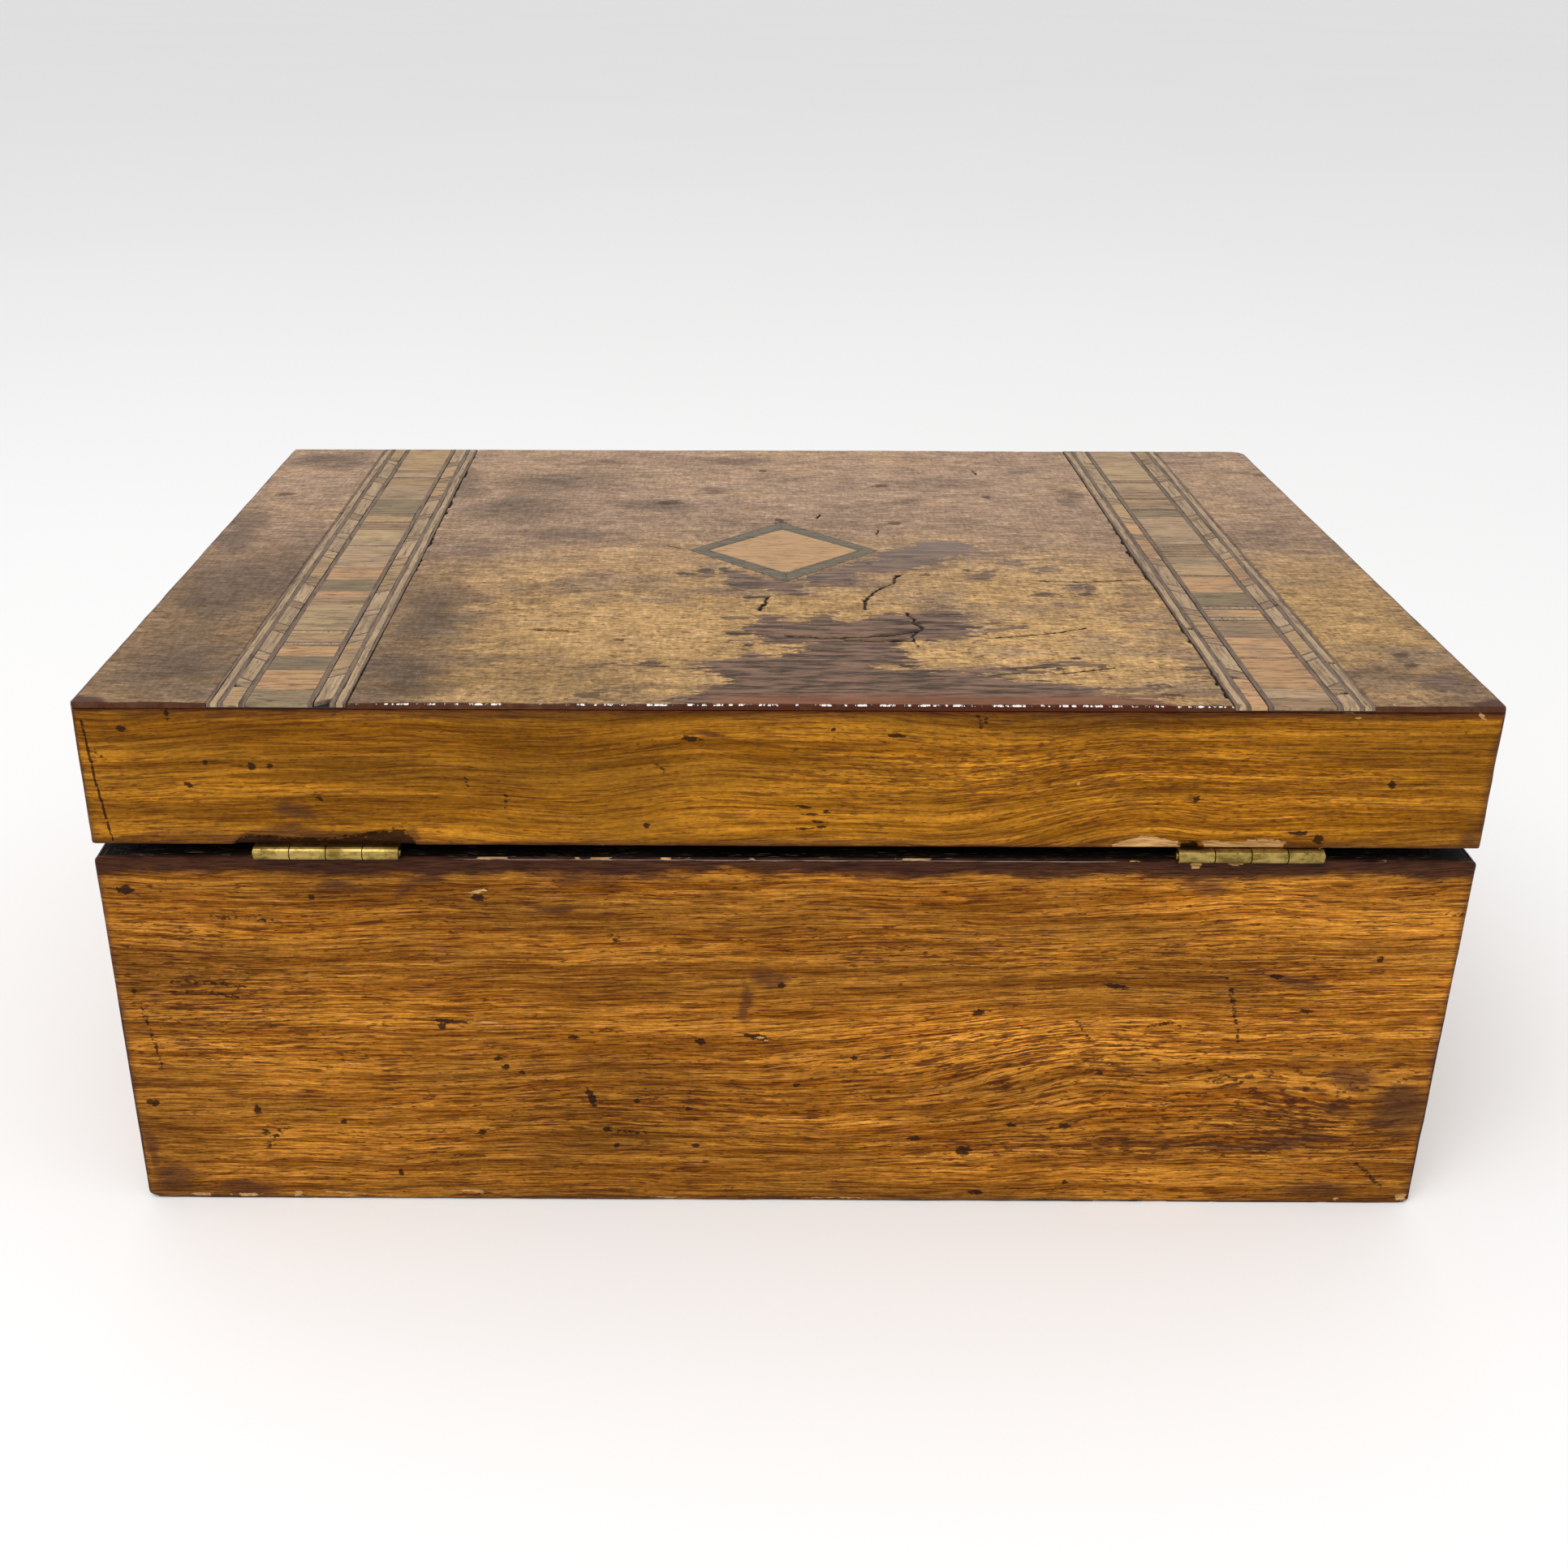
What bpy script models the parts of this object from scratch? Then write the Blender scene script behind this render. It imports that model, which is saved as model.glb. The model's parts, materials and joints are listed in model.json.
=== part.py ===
"""A veneered wooden box with a hinged, inlaid lid, built as the separate pieces it is made of.

Frame: origin at the middle of the underside, +X along the width, +Y towards the hinges, +Z up.
Every size below is in millimetres; the building functions turn them into metres.
"""
import math

import bmesh
import bpy
from mathutils import Quaternion, Vector

MM = 0.001

# Driving dimensions
WIDTH = 305.0
DEPTH = 219.0
BODY_HEIGHT = 93.25
LID_HEIGHT = 33.4
HINGE_GAP = 3.35          # body rim to lid edge at the hinges, which lie on the wood unrecessed
FRONT_GAP = 0.35          # body rim to lid edge at the front, where the lid comes to rest
FIT = 0.25                # gap between neighbouring pieces

# Woodwork
VENEER = 1.0              # on the four sides
TOP_VENEER = 1.2
BOARD = 8.0
LAP = 3.5                 # what is left of a side board beyond its corner rebate
BOTTOM_BOARD = 6.0
LID_TOP_BOARD = 6.0
RIM_FACING = 1.0
LINING = 0.5
LINING_DROP = 1.0         # lining edge below the rim
INLAY_GROOVE = 0.8        # depth of the grooves in the top veneer
FRONT_GROOVE = 0.6        # depth of the grooves in the front veneer

# Inlay
BAND_CENTRES = {"left": 108.3, "right": -109.6}
BAND_CORE = 15.6          # cross-grain middle strip with its two dark lines
BAND_BORDER = 6.8         # chequered strip with its stringing, on each side of the core
BAND_GAP = 0.2
DIAMOND_CENTRE = (-2.2, -0.7)
DIAMOND_BORDER = (25.2, 26.4)   # half diagonals
DIAMOND_PANEL = (20.0, 19.6)

# Hinges
HINGE_CENTRES = {"left": 100.5, "right": -102.0}
HINGE_LENGTH = 31.75
HINGE_AXIS_OUT = 0.5      # axis beyond the back face
BARREL_RADIUS = 1.65
PIN_RADIUS = 0.75
PIN_PROUD = 0.4
BORE_RADIUS = 0.85
KNUCKLES = 4
KNUCKLE_GAP = 0.25
LEAF = 0.8                # thickness
LEAF_SEAT = 0.15          # gap under the leaf
LEAF_DEPTH = 8.6          # axis to the leaf's inner edge
LEAF_RELIEF = 2.1         # axis to the leaf, beside the other leaf's knuckles
HINGE_SCREW_SPREAD = 10.5

# Screws
HEAD_RADIUS = 1.9
SHANK_RADIUS = 0.85
SCREW_TIP = 1.5
SCREW_SLOT = (0.5, 0.45)  # width, depth
HOLE_CLEARANCE = 0.25
HINGE_SCREW = 8.0
LOCK_SCREW = 6.0

# Lock, let into the middle of the front board
LOCK_WIDTH = 52.0
LOCK_PLATE = 1.0
LOCK_PLATE_HEIGHT = 22.0
CASE_WIDTH = 40.0
CASE_DEPTH = 4.5
CASE_HEIGHT = 18.0
CASE_WALL = 0.8
SELVAGE = 1.2             # top plate, flush with the rim
LOCK_SCREW_X = 23.0
LOCK_SCREW_DROP = 11.0    # rim to screw
HOOK_X = (-10.0, 10.0)
HOOK_SIZE = (4.0, 1.6)    # along X, along Y
HOOK_REACH = 8.0          # below the rim
HOOK_SLOT_CLEARANCE = (0.5, 0.7)
NOTCH = (2.4, 2.4, 4.2)   # width, height, drop of its top below the rim
BOLT_TRAVEL = 2.5
BOLT_BAR = (-17.5, 9.0)
BOLT_THICK = 2.0
BOLT_BAR_HEIGHT = 3.0
BOLT_FINGER = 2.0
BOLT_TIP = (2.2, 1.6)     # length, height
BOLT_TIP_GAP = 0.6        # tip to hook while unlocked
SPRING_SPAN = (-6.5, 2.0)
SPRING_RISE = 1.6
SPRING_THICK = 0.35
LINK_PLATE = (44.0, 6.0, 1.2)
LINK_SCREW_X = 17.5
KEYHOLE_DROP = 13.0
KEYHOLE_RADIUS = 1.6
KEYHOLE_SLOT = (1.6, 5.0)
ESCUTCHEON = (7.5, 10.0)  # half diagonals

# Levels and faces worked out from the sizes above
HALF_X = WIDTH / 2
HALF_Y = DEPTH / 2
RIM = BODY_HEIGHT
LID_EDGE = RIM + HINGE_GAP
LID_TOP = LID_EDGE + LID_HEIGHT
SHELL_X = HALF_X - VENEER - FIT       # outer face of the boards
SHELL_Y = HALF_Y - VENEER - FIT
ROOM_X = SHELL_X - BOARD              # inner face of the boards
ROOM_Y = SHELL_Y - BOARD
WALL_FOOT = BOTTOM_BOARD + FIT
WALL_TOP = RIM - RIM_FACING - FIT
LID_VENEER_TOP = LID_TOP - TOP_VENEER - FIT
LID_BOARD_FOOT = LID_VENEER_TOP - LID_TOP_BOARD
LID_WALL_TOP = LID_BOARD_FOOT - FIT
AXIS_Y = HALF_Y + HINGE_AXIS_OUT
AXIS_Z = RIM + HINGE_GAP / 2
LID_TILT = math.asin((HINGE_GAP - FRONT_GAP) / (AXIS_Y + HALF_Y))
LOCK_Y = -ROOM_Y - LOCK_PLATE - CASE_DEPTH / 2
BOARD_MIDDLE_Y = SHELL_Y - BOARD / 2

COLOURS = {
    # slot: (colour, roughness, metallic)
    "side_veneer": ((0.32, 0.16, 0.04), 0.45, 0.0),
    "top_veneer": ((0.30, 0.22, 0.16), 0.7, 0.0),
    "carcass": ((0.36, 0.20, 0.09), 0.75, 0.0),
    "facing": ((0.12, 0.07, 0.05), 0.6, 0.0),
    "band_core": ((0.45, 0.30, 0.16), 0.65, 0.0),
    "band_border": ((0.22, 0.18, 0.13), 0.65, 0.0),
    "diamond_light": ((0.48, 0.32, 0.18), 0.65, 0.0),
    "diamond_dark": ((0.15, 0.14, 0.11), 0.65, 0.0),
    "lining": ((0.10, 0.06, 0.12), 0.9, 0.0),
    "brass": ((0.40, 0.28, 0.11), 0.4, 1.0),
    "steel": ((0.30, 0.29, 0.28), 0.45, 1.0),
}


def clear_scene():
    for obj in list(bpy.data.objects):
        bpy.data.objects.remove(obj, do_unlink=True)


def collection(name):
    group = bpy.data.collections.new(name)
    bpy.context.scene.collection.children.link(group)
    return group


def material(slot):
    found = bpy.data.materials.get(slot)
    if found:
        return found
    colour, roughness, metallic = COLOURS[slot]
    made = bpy.data.materials.new(slot)
    made.use_nodes = True
    shader = made.node_tree.nodes["Principled BSDF"]
    shader.inputs["Base Color"].default_value = (*colour, 1.0)
    shader.inputs["Roughness"].default_value = roughness
    shader.inputs["Metallic"].default_value = metallic
    return made


def place(obj, centre, parent=None):
    """Set the object's origin at centre, in millimetres, also when it hangs on a parent."""
    obj.location = Vector(centre) * MM
    if parent:
        obj.parent = parent
        obj.location -= parent.location


def add(name, mesh, centre, slot=None, parent=None):
    """Link a mesh as a piece, or as a cutter where it has no material slot."""
    obj = bpy.data.objects.new(name, mesh)
    if slot:
        PARTS.objects.link(obj)
        mesh.materials.append(material(slot))
    else:
        CUTTERS.objects.link(obj)
        obj.hide_render = True
        obj.display_type = "WIRE"
    place(obj, centre, parent)
    return obj


def box(name, x, y, z, slot=None, parent=None):
    """A box between the (low, high) pairs x, y and z."""
    low, high = (Vector(corner) for corner in zip(x, y, z))
    form = bmesh.new()
    bmesh.ops.create_cube(form, size=1.0)
    bmesh.ops.scale(form, vec=(high - low) * MM, verts=form.verts)
    mesh = bpy.data.meshes.new(name)
    form.to_mesh(mesh)
    form.free()
    return add(name, mesh, (low + high) / 2, slot, parent)


def turn_to(axis):
    return Vector((0, 0, 1)).rotation_difference(Vector(axis)).to_matrix()


def rod(name, centre, radius, length, axis, slot=None, parent=None, end_radius=None, sides=20):
    """A cylinder along axis, or a cone where end_radius, at the axis's far end, is given."""
    form = bmesh.new()
    far = radius if end_radius is None else end_radius
    bmesh.ops.create_cone(form, cap_ends=True, segments=sides, radius1=radius * MM,
                          radius2=far * MM, depth=length * MM)
    bmesh.ops.rotate(form, matrix=turn_to(axis), verts=form.verts)
    mesh = bpy.data.meshes.new(name)
    form.to_mesh(mesh)
    form.free()
    if slot:
        mesh.shade_smooth()
        mesh.set_sharp_from_angle(angle=math.radians(40))
    return add(name, mesh, centre, slot, parent)


def plate(name, points, z, slot=None, parent=None, upright=False):
    """A flat outline between two heights; upright stands it in the XZ plane, between two Ys."""
    curve = bpy.data.curves.new(name, "CURVE")
    curve.dimensions = "2D"
    curve.fill_mode = "BOTH"
    curve.extrude = (z[1] - z[0]) / 2 * MM
    line = curve.splines.new("POLY")
    line.points.add(len(points) - 1)
    for point, (across, along) in zip(line.points, points):
        point.co = (across * MM, along * MM, 0.0, 1.0)
    line.use_cyclic_u = True
    outline = bpy.data.objects.new(name, curve)
    CUTTERS.objects.link(outline)
    bpy.context.view_layer.update()
    mesh = bpy.data.meshes.new_from_object(outline.evaluated_get(bpy.context.evaluated_depsgraph_get()))
    bpy.data.objects.remove(outline, do_unlink=True)
    form = bmesh.new()
    form.from_mesh(mesh)
    bmesh.ops.remove_doubles(form, verts=form.verts, dist=0.01 * MM)
    if upright:
        bmesh.ops.rotate(form, matrix=turn_to((0, -1, 0)), verts=form.verts)
    bmesh.ops.recalc_face_normals(form, faces=form.faces)
    form.to_mesh(mesh)
    form.free()
    mesh.name = name
    middle = (z[0] + z[1]) / 2
    return add(name, mesh, (0, middle, 0) if upright else (0, 0, middle), slot, parent)


def combine(obj, others, operation):
    for other in others:
        step = obj.modifiers.new(operation.lower(), "BOOLEAN")
        step.operation = operation
        step.solver = "EXACT"
        step.object = other
    return obj


def cut(obj, *cutters):
    return combine(obj, cutters, "DIFFERENCE")


def join(obj, *others):
    return combine(obj, others, "UNION")


def grow(span, by):
    return (span[0] - by, span[1] + by)


def about(centre, size):
    return (centre - size / 2, centre + size / 2)


def rhombus(centre, half):
    """Corners of a diamond with the given half diagonals."""
    return [(centre[0] + half[0], centre[1]), (centre[0], centre[1] + half[1]),
            (centre[0] - half[0], centre[1]), (centre[0], centre[1] - half[1])]


def inset(half, by):
    """Half diagonals of a diamond whose sides lie inside another's by a distance."""
    ratio = 1 - by * math.hypot(*half) / (half[0] * half[1])
    return (half[0] * ratio, half[1] * ratio)


def hollow_box(name, x, y, z, wall, opens_up, slot, parent=None):
    """A thin open box, such as a paper lining: one floor and four walls."""
    shell = box(name, x, y, z, slot, parent)
    inner_z = (z[0] + wall, z[1] + 1) if opens_up else (z[0] - 1, z[1] - wall)
    return cut(shell, box(name + "_room", grow(x, -wall), grow(y, -wall), inner_z, None, parent))


# ---------------------------------------------------------------- woodwork

def side_walls(part, foot, top, parent=None):
    """Four carcass boards; the left and right ones are rebated for the ends of the others."""
    walls = {}
    end_x = SHELL_X - LAP - FIT
    for side, sign in (("back", 1), ("front", -1)):
        y = sorted((sign * ROOM_Y, sign * SHELL_Y))
        walls[side] = box(f"{part}_{side}_board", (-end_x, end_x), y, (foot, top), "carcass", parent)
    for side, sign in (("left", 1), ("right", -1)):
        x = sorted((sign * ROOM_X, sign * SHELL_X))
        board = box(f"{part}_{side}_board", x, (-SHELL_Y, SHELL_Y), (foot, top), "carcass", parent)
        rebate_x = sorted((sign * (ROOM_X - 1), sign * (SHELL_X - LAP)))
        for end in (-1, 1):
            rebate_y = sorted((end * (ROOM_Y - FIT), end * (SHELL_Y + 1)))
            cut(board, box(f"{part}_{side}_rebate_{end}", rebate_x, rebate_y, (foot - 1, top + 1),
                           None, parent))
        walls[side] = board
    return walls


def side_veneers(part, foot, top, parent=None):
    """Four outer veneers; the front and back ones cover the ends of the others."""
    veneers = {}
    for side, sign in (("back", 1), ("front", -1)):
        y = sorted((sign * (HALF_Y - VENEER), sign * HALF_Y))
        veneers[side] = box(f"{part}_{side}_veneer", (-HALF_X, HALF_X), y, (foot, top),
                            "side_veneer", parent)
    for side, sign in (("left", 1), ("right", -1)):
        x = sorted((sign * (HALF_X - VENEER), sign * HALF_X))
        veneers[side] = box(f"{part}_{side}_veneer", x, (-SHELL_Y, SHELL_Y), (foot, top),
                            "side_veneer", parent)
    return veneers


def rim_facings():
    """Four thin strips on the body's top edge, mitred where they meet."""
    facings = {}
    mitre = FIT / 2
    for side, sign in (("back", 1), ("front", -1)):
        outer, inner = SHELL_X - mitre, ROOM_X - mitre
        points = [(-outer, sign * SHELL_Y), (outer, sign * SHELL_Y),
                  (inner, sign * ROOM_Y), (-inner, sign * ROOM_Y)]
        facings[side] = plate(f"body_{side}_facing", points, (RIM - RIM_FACING, RIM), "facing")
    for side, sign in (("left", 1), ("right", -1)):
        outer, inner = SHELL_Y - mitre, ROOM_Y - mitre
        points = [(sign * SHELL_X, -outer), (sign * SHELL_X, outer),
                  (sign * ROOM_X, inner), (sign * ROOM_X, -inner)]
        facings[side] = plate(f"body_{side}_facing", points, (RIM - RIM_FACING, RIM), "facing")
    return facings


def lining(name, z, opens_up, parent=None):
    x = (FIT - ROOM_X, ROOM_X - FIT)
    y = (FIT - ROOM_Y, ROOM_Y - FIT)
    return hollow_box(name, x, y, z, LINING, opens_up, "lining", parent)


# ---------------------------------------------------------------- inlay

def front_band(part, side, veneer, z, parent=None):
    """The band's run down the front face, in a shallow groove of the front veneer."""
    x = about(BAND_CENTRES[side], BAND_CORE + 2 * (BAND_BORDER + BAND_GAP))
    floor = FRONT_GROOVE - HALF_Y
    cut(veneer, box(f"{part}_{side}_groove", grow(x, BAND_GAP), (-HALF_Y - 1, floor),
                    grow(z, 1), None, parent))
    box(f"{part}_front_band_{side}", x, (-HALF_Y, floor - BAND_GAP), z, "band_core", parent)


def top_band(side, veneer, parent):
    """A core strip between two border strips, across the whole depth of the lid."""
    centre = BAND_CENTRES[side]
    y = (-HALF_Y, HALF_Y)
    floor = LID_TOP - INLAY_GROOVE
    z = (floor + BAND_GAP, LID_TOP)
    offset = (BAND_CORE + BAND_BORDER) / 2 + BAND_GAP
    outward = 1 if centre > 0 else -1
    groove = about(centre, BAND_CORE + 2 * BAND_BORDER + 4 * BAND_GAP)
    cut(veneer, box(f"lid_groove_{side}", groove, grow(y, 1), (floor, LID_TOP + 1), None, parent))
    box(f"band_{side}_core", about(centre, BAND_CORE), y, z, "band_core", parent)
    box(f"band_{side}_outer", about(centre + outward * offset, BAND_BORDER), y, z,
        "band_border", parent)
    box(f"band_{side}_inner", about(centre - outward * offset, BAND_BORDER), y, z,
        "band_border", parent)


def diamond(veneer, parent):
    """A light panel in a dark border, let into the middle of the lid."""
    floor = LID_TOP - INLAY_GROOVE
    z = (floor + BAND_GAP, LID_TOP)
    through = (floor - 5, LID_TOP + 1)
    cut(veneer, plate("diamond_groove", rhombus(DIAMOND_CENTRE, inset(DIAMOND_BORDER, -BAND_GAP)),
                      (floor, LID_TOP + 1), None, parent))
    border = plate("diamond_border", rhombus(DIAMOND_CENTRE, DIAMOND_BORDER), z,
                   "diamond_dark", parent)
    cut(border, plate("diamond_hole", rhombus(DIAMOND_CENTRE, DIAMOND_PANEL), through, None, parent))
    plate("diamond_panel", rhombus(DIAMOND_CENTRE, inset(DIAMOND_PANEL, BAND_GAP)), z,
          "diamond_light", parent)


# ---------------------------------------------------------------- screws and hinges

def screw_mesh(length):
    """A countersunk slotted screw, head face at the origin, pointing down."""
    head = HEAD_RADIUS - SHANK_RADIUS
    profile = [(0, 0), (HEAD_RADIUS, 0), (SHANK_RADIUS, -head),
               (SHANK_RADIUS, SCREW_TIP - length), (0, -length)]
    form = bmesh.new()
    line = [form.verts.new((across * MM, 0, up * MM)) for across, up in profile]
    for start, end in zip(line, line[1:]):
        form.edges.new((start, end))
    bmesh.ops.spin(form, geom=form.verts[:] + form.edges[:], cent=(0, 0, 0), axis=(0, 0, 1),
                   angle=math.tau, steps=16)
    bmesh.ops.remove_doubles(form, verts=form.verts, dist=0.01 * MM)
    bmesh.ops.recalc_face_normals(form, faces=form.faces)
    mesh = bpy.data.meshes.new("screw")
    form.to_mesh(mesh)
    form.free()
    mesh.shade_smooth()
    mesh.set_sharp_from_angle(angle=math.radians(40))
    return mesh


def screw(name, head, length, axis, slot, turn, parent=None):
    """A screw whose head face is at head and whose point lies along axis."""
    aim = Vector((0, 0, -1)).rotation_difference(Vector(axis))
    obj = add(name, screw_mesh(length), head, slot, parent)
    obj.rotation_mode = "QUATERNION"
    obj.rotation_quaternion = aim
    width, depth = SCREW_SLOT
    across = (-2 * HEAD_RADIUS, 2 * HEAD_RADIUS)
    slot_cutter = box(name + "_slot", across, about(0, width), about(0, 2 * depth), None)
    place(slot_cutter, head, parent)
    slot_cutter.rotation_mode = "QUATERNION"
    slot_cutter.rotation_quaternion = aim @ Quaternion((0, 0, 1), turn)
    cut(obj, slot_cutter)


def screw_hole(name, head, length, axis, parent=None):
    """Cutters for a countersunk hole and its pilot, along axis from the head's face."""
    way = Vector(axis)
    reach = HEAD_RADIUS - SHANK_RADIUS
    lift = 0.5
    sink = rod(name + "_sink", Vector(head) + way * (reach - lift) / 2,
               HEAD_RADIUS + HOLE_CLEARANCE + lift, reach + lift, axis, None, parent,
               SHANK_RADIUS + HOLE_CLEARANCE)
    pilot = rod(name + "_pilot", Vector(head) + way * (length + HOLE_CLEARANCE) / 2,
                SHANK_RADIUS + HOLE_CLEARANCE, length + HOLE_CLEARANCE, axis, None, parent,
                sides=12)
    return sink, pilot


def hinge(side, walls, facing, lid_walls, pivot):
    """A butt hinge laid on the back rim: a leaf on the body, a leaf under the lid, and a pin."""
    middle = HINGE_CENTRES[side]
    span = about(middle, HINGE_LENGTH)
    knuckle = (HINGE_LENGTH - (KNUCKLES - 1) * KNUCKLE_GAP) / KNUCKLES
    body_z = (RIM + LEAF_SEAT, RIM + LEAF_SEAT + LEAF)
    lid_z = (LID_EDGE - LEAF_SEAT - LEAF, LID_EDGE - LEAF_SEAT)
    screws = [middle - HINGE_SCREW_SPREAD, middle + HINGE_SCREW_SPREAD]
    leaves = (("body", 0, body_z, body_z[1], (0, 0, -1), None, (walls["back"], facing)),
              ("lid", 1, lid_z, lid_z[0], (0, 0, 1), pivot, (lid_walls["back"],)))
    for part, first, z, head_z, axis, parent, wood in leaves:
        name = f"hinge_{side}_{part}_leaf"
        own = [span[0] + index * (knuckle + KNUCKLE_GAP) for index in range(first, KNUCKLES, 2)]
        points = [(span[1], AXIS_Y - LEAF_DEPTH), (span[0], AXIS_Y - LEAF_DEPTH),
                  (span[0], AXIS_Y - LEAF_RELIEF)]
        for start in own:
            points += [(start, AXIS_Y - LEAF_RELIEF), (start, AXIS_Y),
                       (start + knuckle, AXIS_Y), (start + knuckle, AXIS_Y - LEAF_RELIEF)]
        points.append((span[1], AXIS_Y - LEAF_RELIEF))
        leaf = plate(name, without_repeats(points), z, "brass", parent)
        for index, start in enumerate(own):
            join(leaf, rod(f"{name}_barrel_{index}", (start + knuckle / 2, AXIS_Y, AXIS_Z),
                           BARREL_RADIUS, knuckle, (1, 0, 0), None, parent))
        cut(leaf, rod(name + "_bore", (middle, AXIS_Y, AXIS_Z), BORE_RADIUS,
                      2 * HINGE_LENGTH, (1, 0, 0), None, parent, sides=16))
        for index, x in enumerate(screws):
            head = (x, BOARD_MIDDLE_Y, head_z)
            title = f"hinge_{side}_{part}_screw_{index + 1}"
            sink, pilot = screw_hole(title, head, HINGE_SCREW, axis, parent)
            cut(leaf, sink, pilot)
            for board in wood:
                cut(board, sink, pilot)
            screw(title, head, HINGE_SCREW, axis, "brass", math.radians(35 + 70 * index), parent)
    rod(f"hinge_{side}_pin", (middle, AXIS_Y, AXIS_Z), PIN_RADIUS,
        HINGE_LENGTH + 2 * PIN_PROUD, (1, 0, 0), "brass", sides=16)


def without_repeats(points):
    return [point for index, point in enumerate(points) if point != points[index - 1]]


# ---------------------------------------------------------------- lock

def lock_case(board, facing, paper):
    """The brass case with its inner plate and top selvage, open towards the wood in front."""
    plate_y = (-ROOM_Y - LOCK_PLATE, -ROOM_Y)
    case_y = (-ROOM_Y - LOCK_PLATE - CASE_DEPTH, -ROOM_Y)
    plate_x = about(0, LOCK_WIDTH)
    case_x = about(0, CASE_WIDTH)
    plate_z = (RIM - LOCK_PLATE_HEIGHT, RIM)
    case_z = (RIM - CASE_HEIGHT, RIM)
    selvage_z = (RIM - SELVAGE, RIM)
    clear = 1.0

    case = box("lock_case", case_x, case_y, case_z, "brass")
    join(case, box("lock_inner_plate", plate_x, plate_y, plate_z),
         box("lock_selvage", plate_x, case_y, selvage_z))
    cut(case, box("lock_room", grow(case_x, -CASE_WALL), (case_y[0] - clear, plate_y[0]),
                  (case_z[0] + CASE_WALL, selvage_z[0])))
    for index, x in enumerate(HOOK_X):
        length, width = HOOK_SIZE
        cut(case, box(f"lock_hook_slot_{index}",
                      about(x, length + 2 * HOOK_SLOT_CLEARANCE[0]),
                      about(LOCK_Y, width + 2 * HOOK_SLOT_CLEARANCE[1]),
                      (selvage_z[0] - clear, RIM + clear)))

    plate_recess = box("lock_plate_recess", grow(plate_x, FIT),
                       (plate_y[0] - FIT, -ROOM_Y + clear), (plate_z[0] - FIT, RIM + clear))
    case_recess = box("lock_case_recess", grow(case_x, FIT),
                      (case_y[0] - FIT, -ROOM_Y + clear), (case_z[0] - FIT, RIM + clear))
    selvage_recess = box("lock_selvage_recess", grow(plate_x, FIT),
                         (case_y[0] - FIT, -ROOM_Y + clear), (selvage_z[0] - FIT, RIM + clear))
    cut(board, plate_recess, case_recess, selvage_recess)
    cut(facing, selvage_recess)
    cut(paper, plate_recess)

    for index, x in enumerate((-LOCK_SCREW_X, LOCK_SCREW_X)):
        head = (x, -ROOM_Y, RIM - LOCK_SCREW_DROP)
        sink, pilot = screw_hole(f"lock_screw_{index + 1}", head, LOCK_SCREW, (0, -1, 0))
        cut(case, sink, pilot)
        cut(board, pilot)
        screw(f"lock_screw_{index + 1}", head, LOCK_SCREW, (0, -1, 0), "steel",
              math.radians(20 + 50 * index))


def lock_bolt():
    """A bar with two fingers, whose tips slide into the notches of the lid's hooks."""
    bar_top = RIM - HOOK_REACH - 1.0
    notch_middle = RIM - NOTCH[2] - NOTCH[1] / 2
    tip_low, tip_high = about(notch_middle, BOLT_TIP[1])
    points = [(BOLT_BAR[0], bar_top), (BOLT_BAR[0], bar_top - BOLT_BAR_HEIGHT),
              (BOLT_BAR[1], bar_top - BOLT_BAR_HEIGHT), (BOLT_BAR[1], bar_top)]
    for x in sorted(HOOK_X, reverse=True):
        tip_end = x - HOOK_SIZE[0] / 2 - BOLT_TIP_GAP
        finger = tip_end - BOLT_TIP[0]
        points += [(finger, bar_top), (finger, tip_low), (tip_end, tip_low), (tip_end, tip_high),
                   (finger - BOLT_FINGER, tip_high), (finger - BOLT_FINGER, bar_top)]
    plate("lock_bolt", points, about(LOCK_Y, BOLT_THICK), "steel", upright=True)


def lock_spring():
    """A bowed strip that rubs on the bolt and keeps it where the key leaves it."""
    bar_top = RIM - HOOK_REACH - 1.0
    middle, half = sum(SPRING_SPAN) / 2, (SPRING_SPAN[1] - SPRING_SPAN[0]) / 2
    steps = 10
    bow = []
    for step in range(steps + 1):
        across = 2 * step / steps - 1
        bow.append((middle + half * across, bar_top + FIT + SPRING_RISE * across ** 2))
    points = bow + [(x, z + SPRING_THICK) for x, z in reversed(bow)]
    plate("lock_spring", points, about(LOCK_Y, BOLT_THICK), "steel", upright=True)


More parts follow.
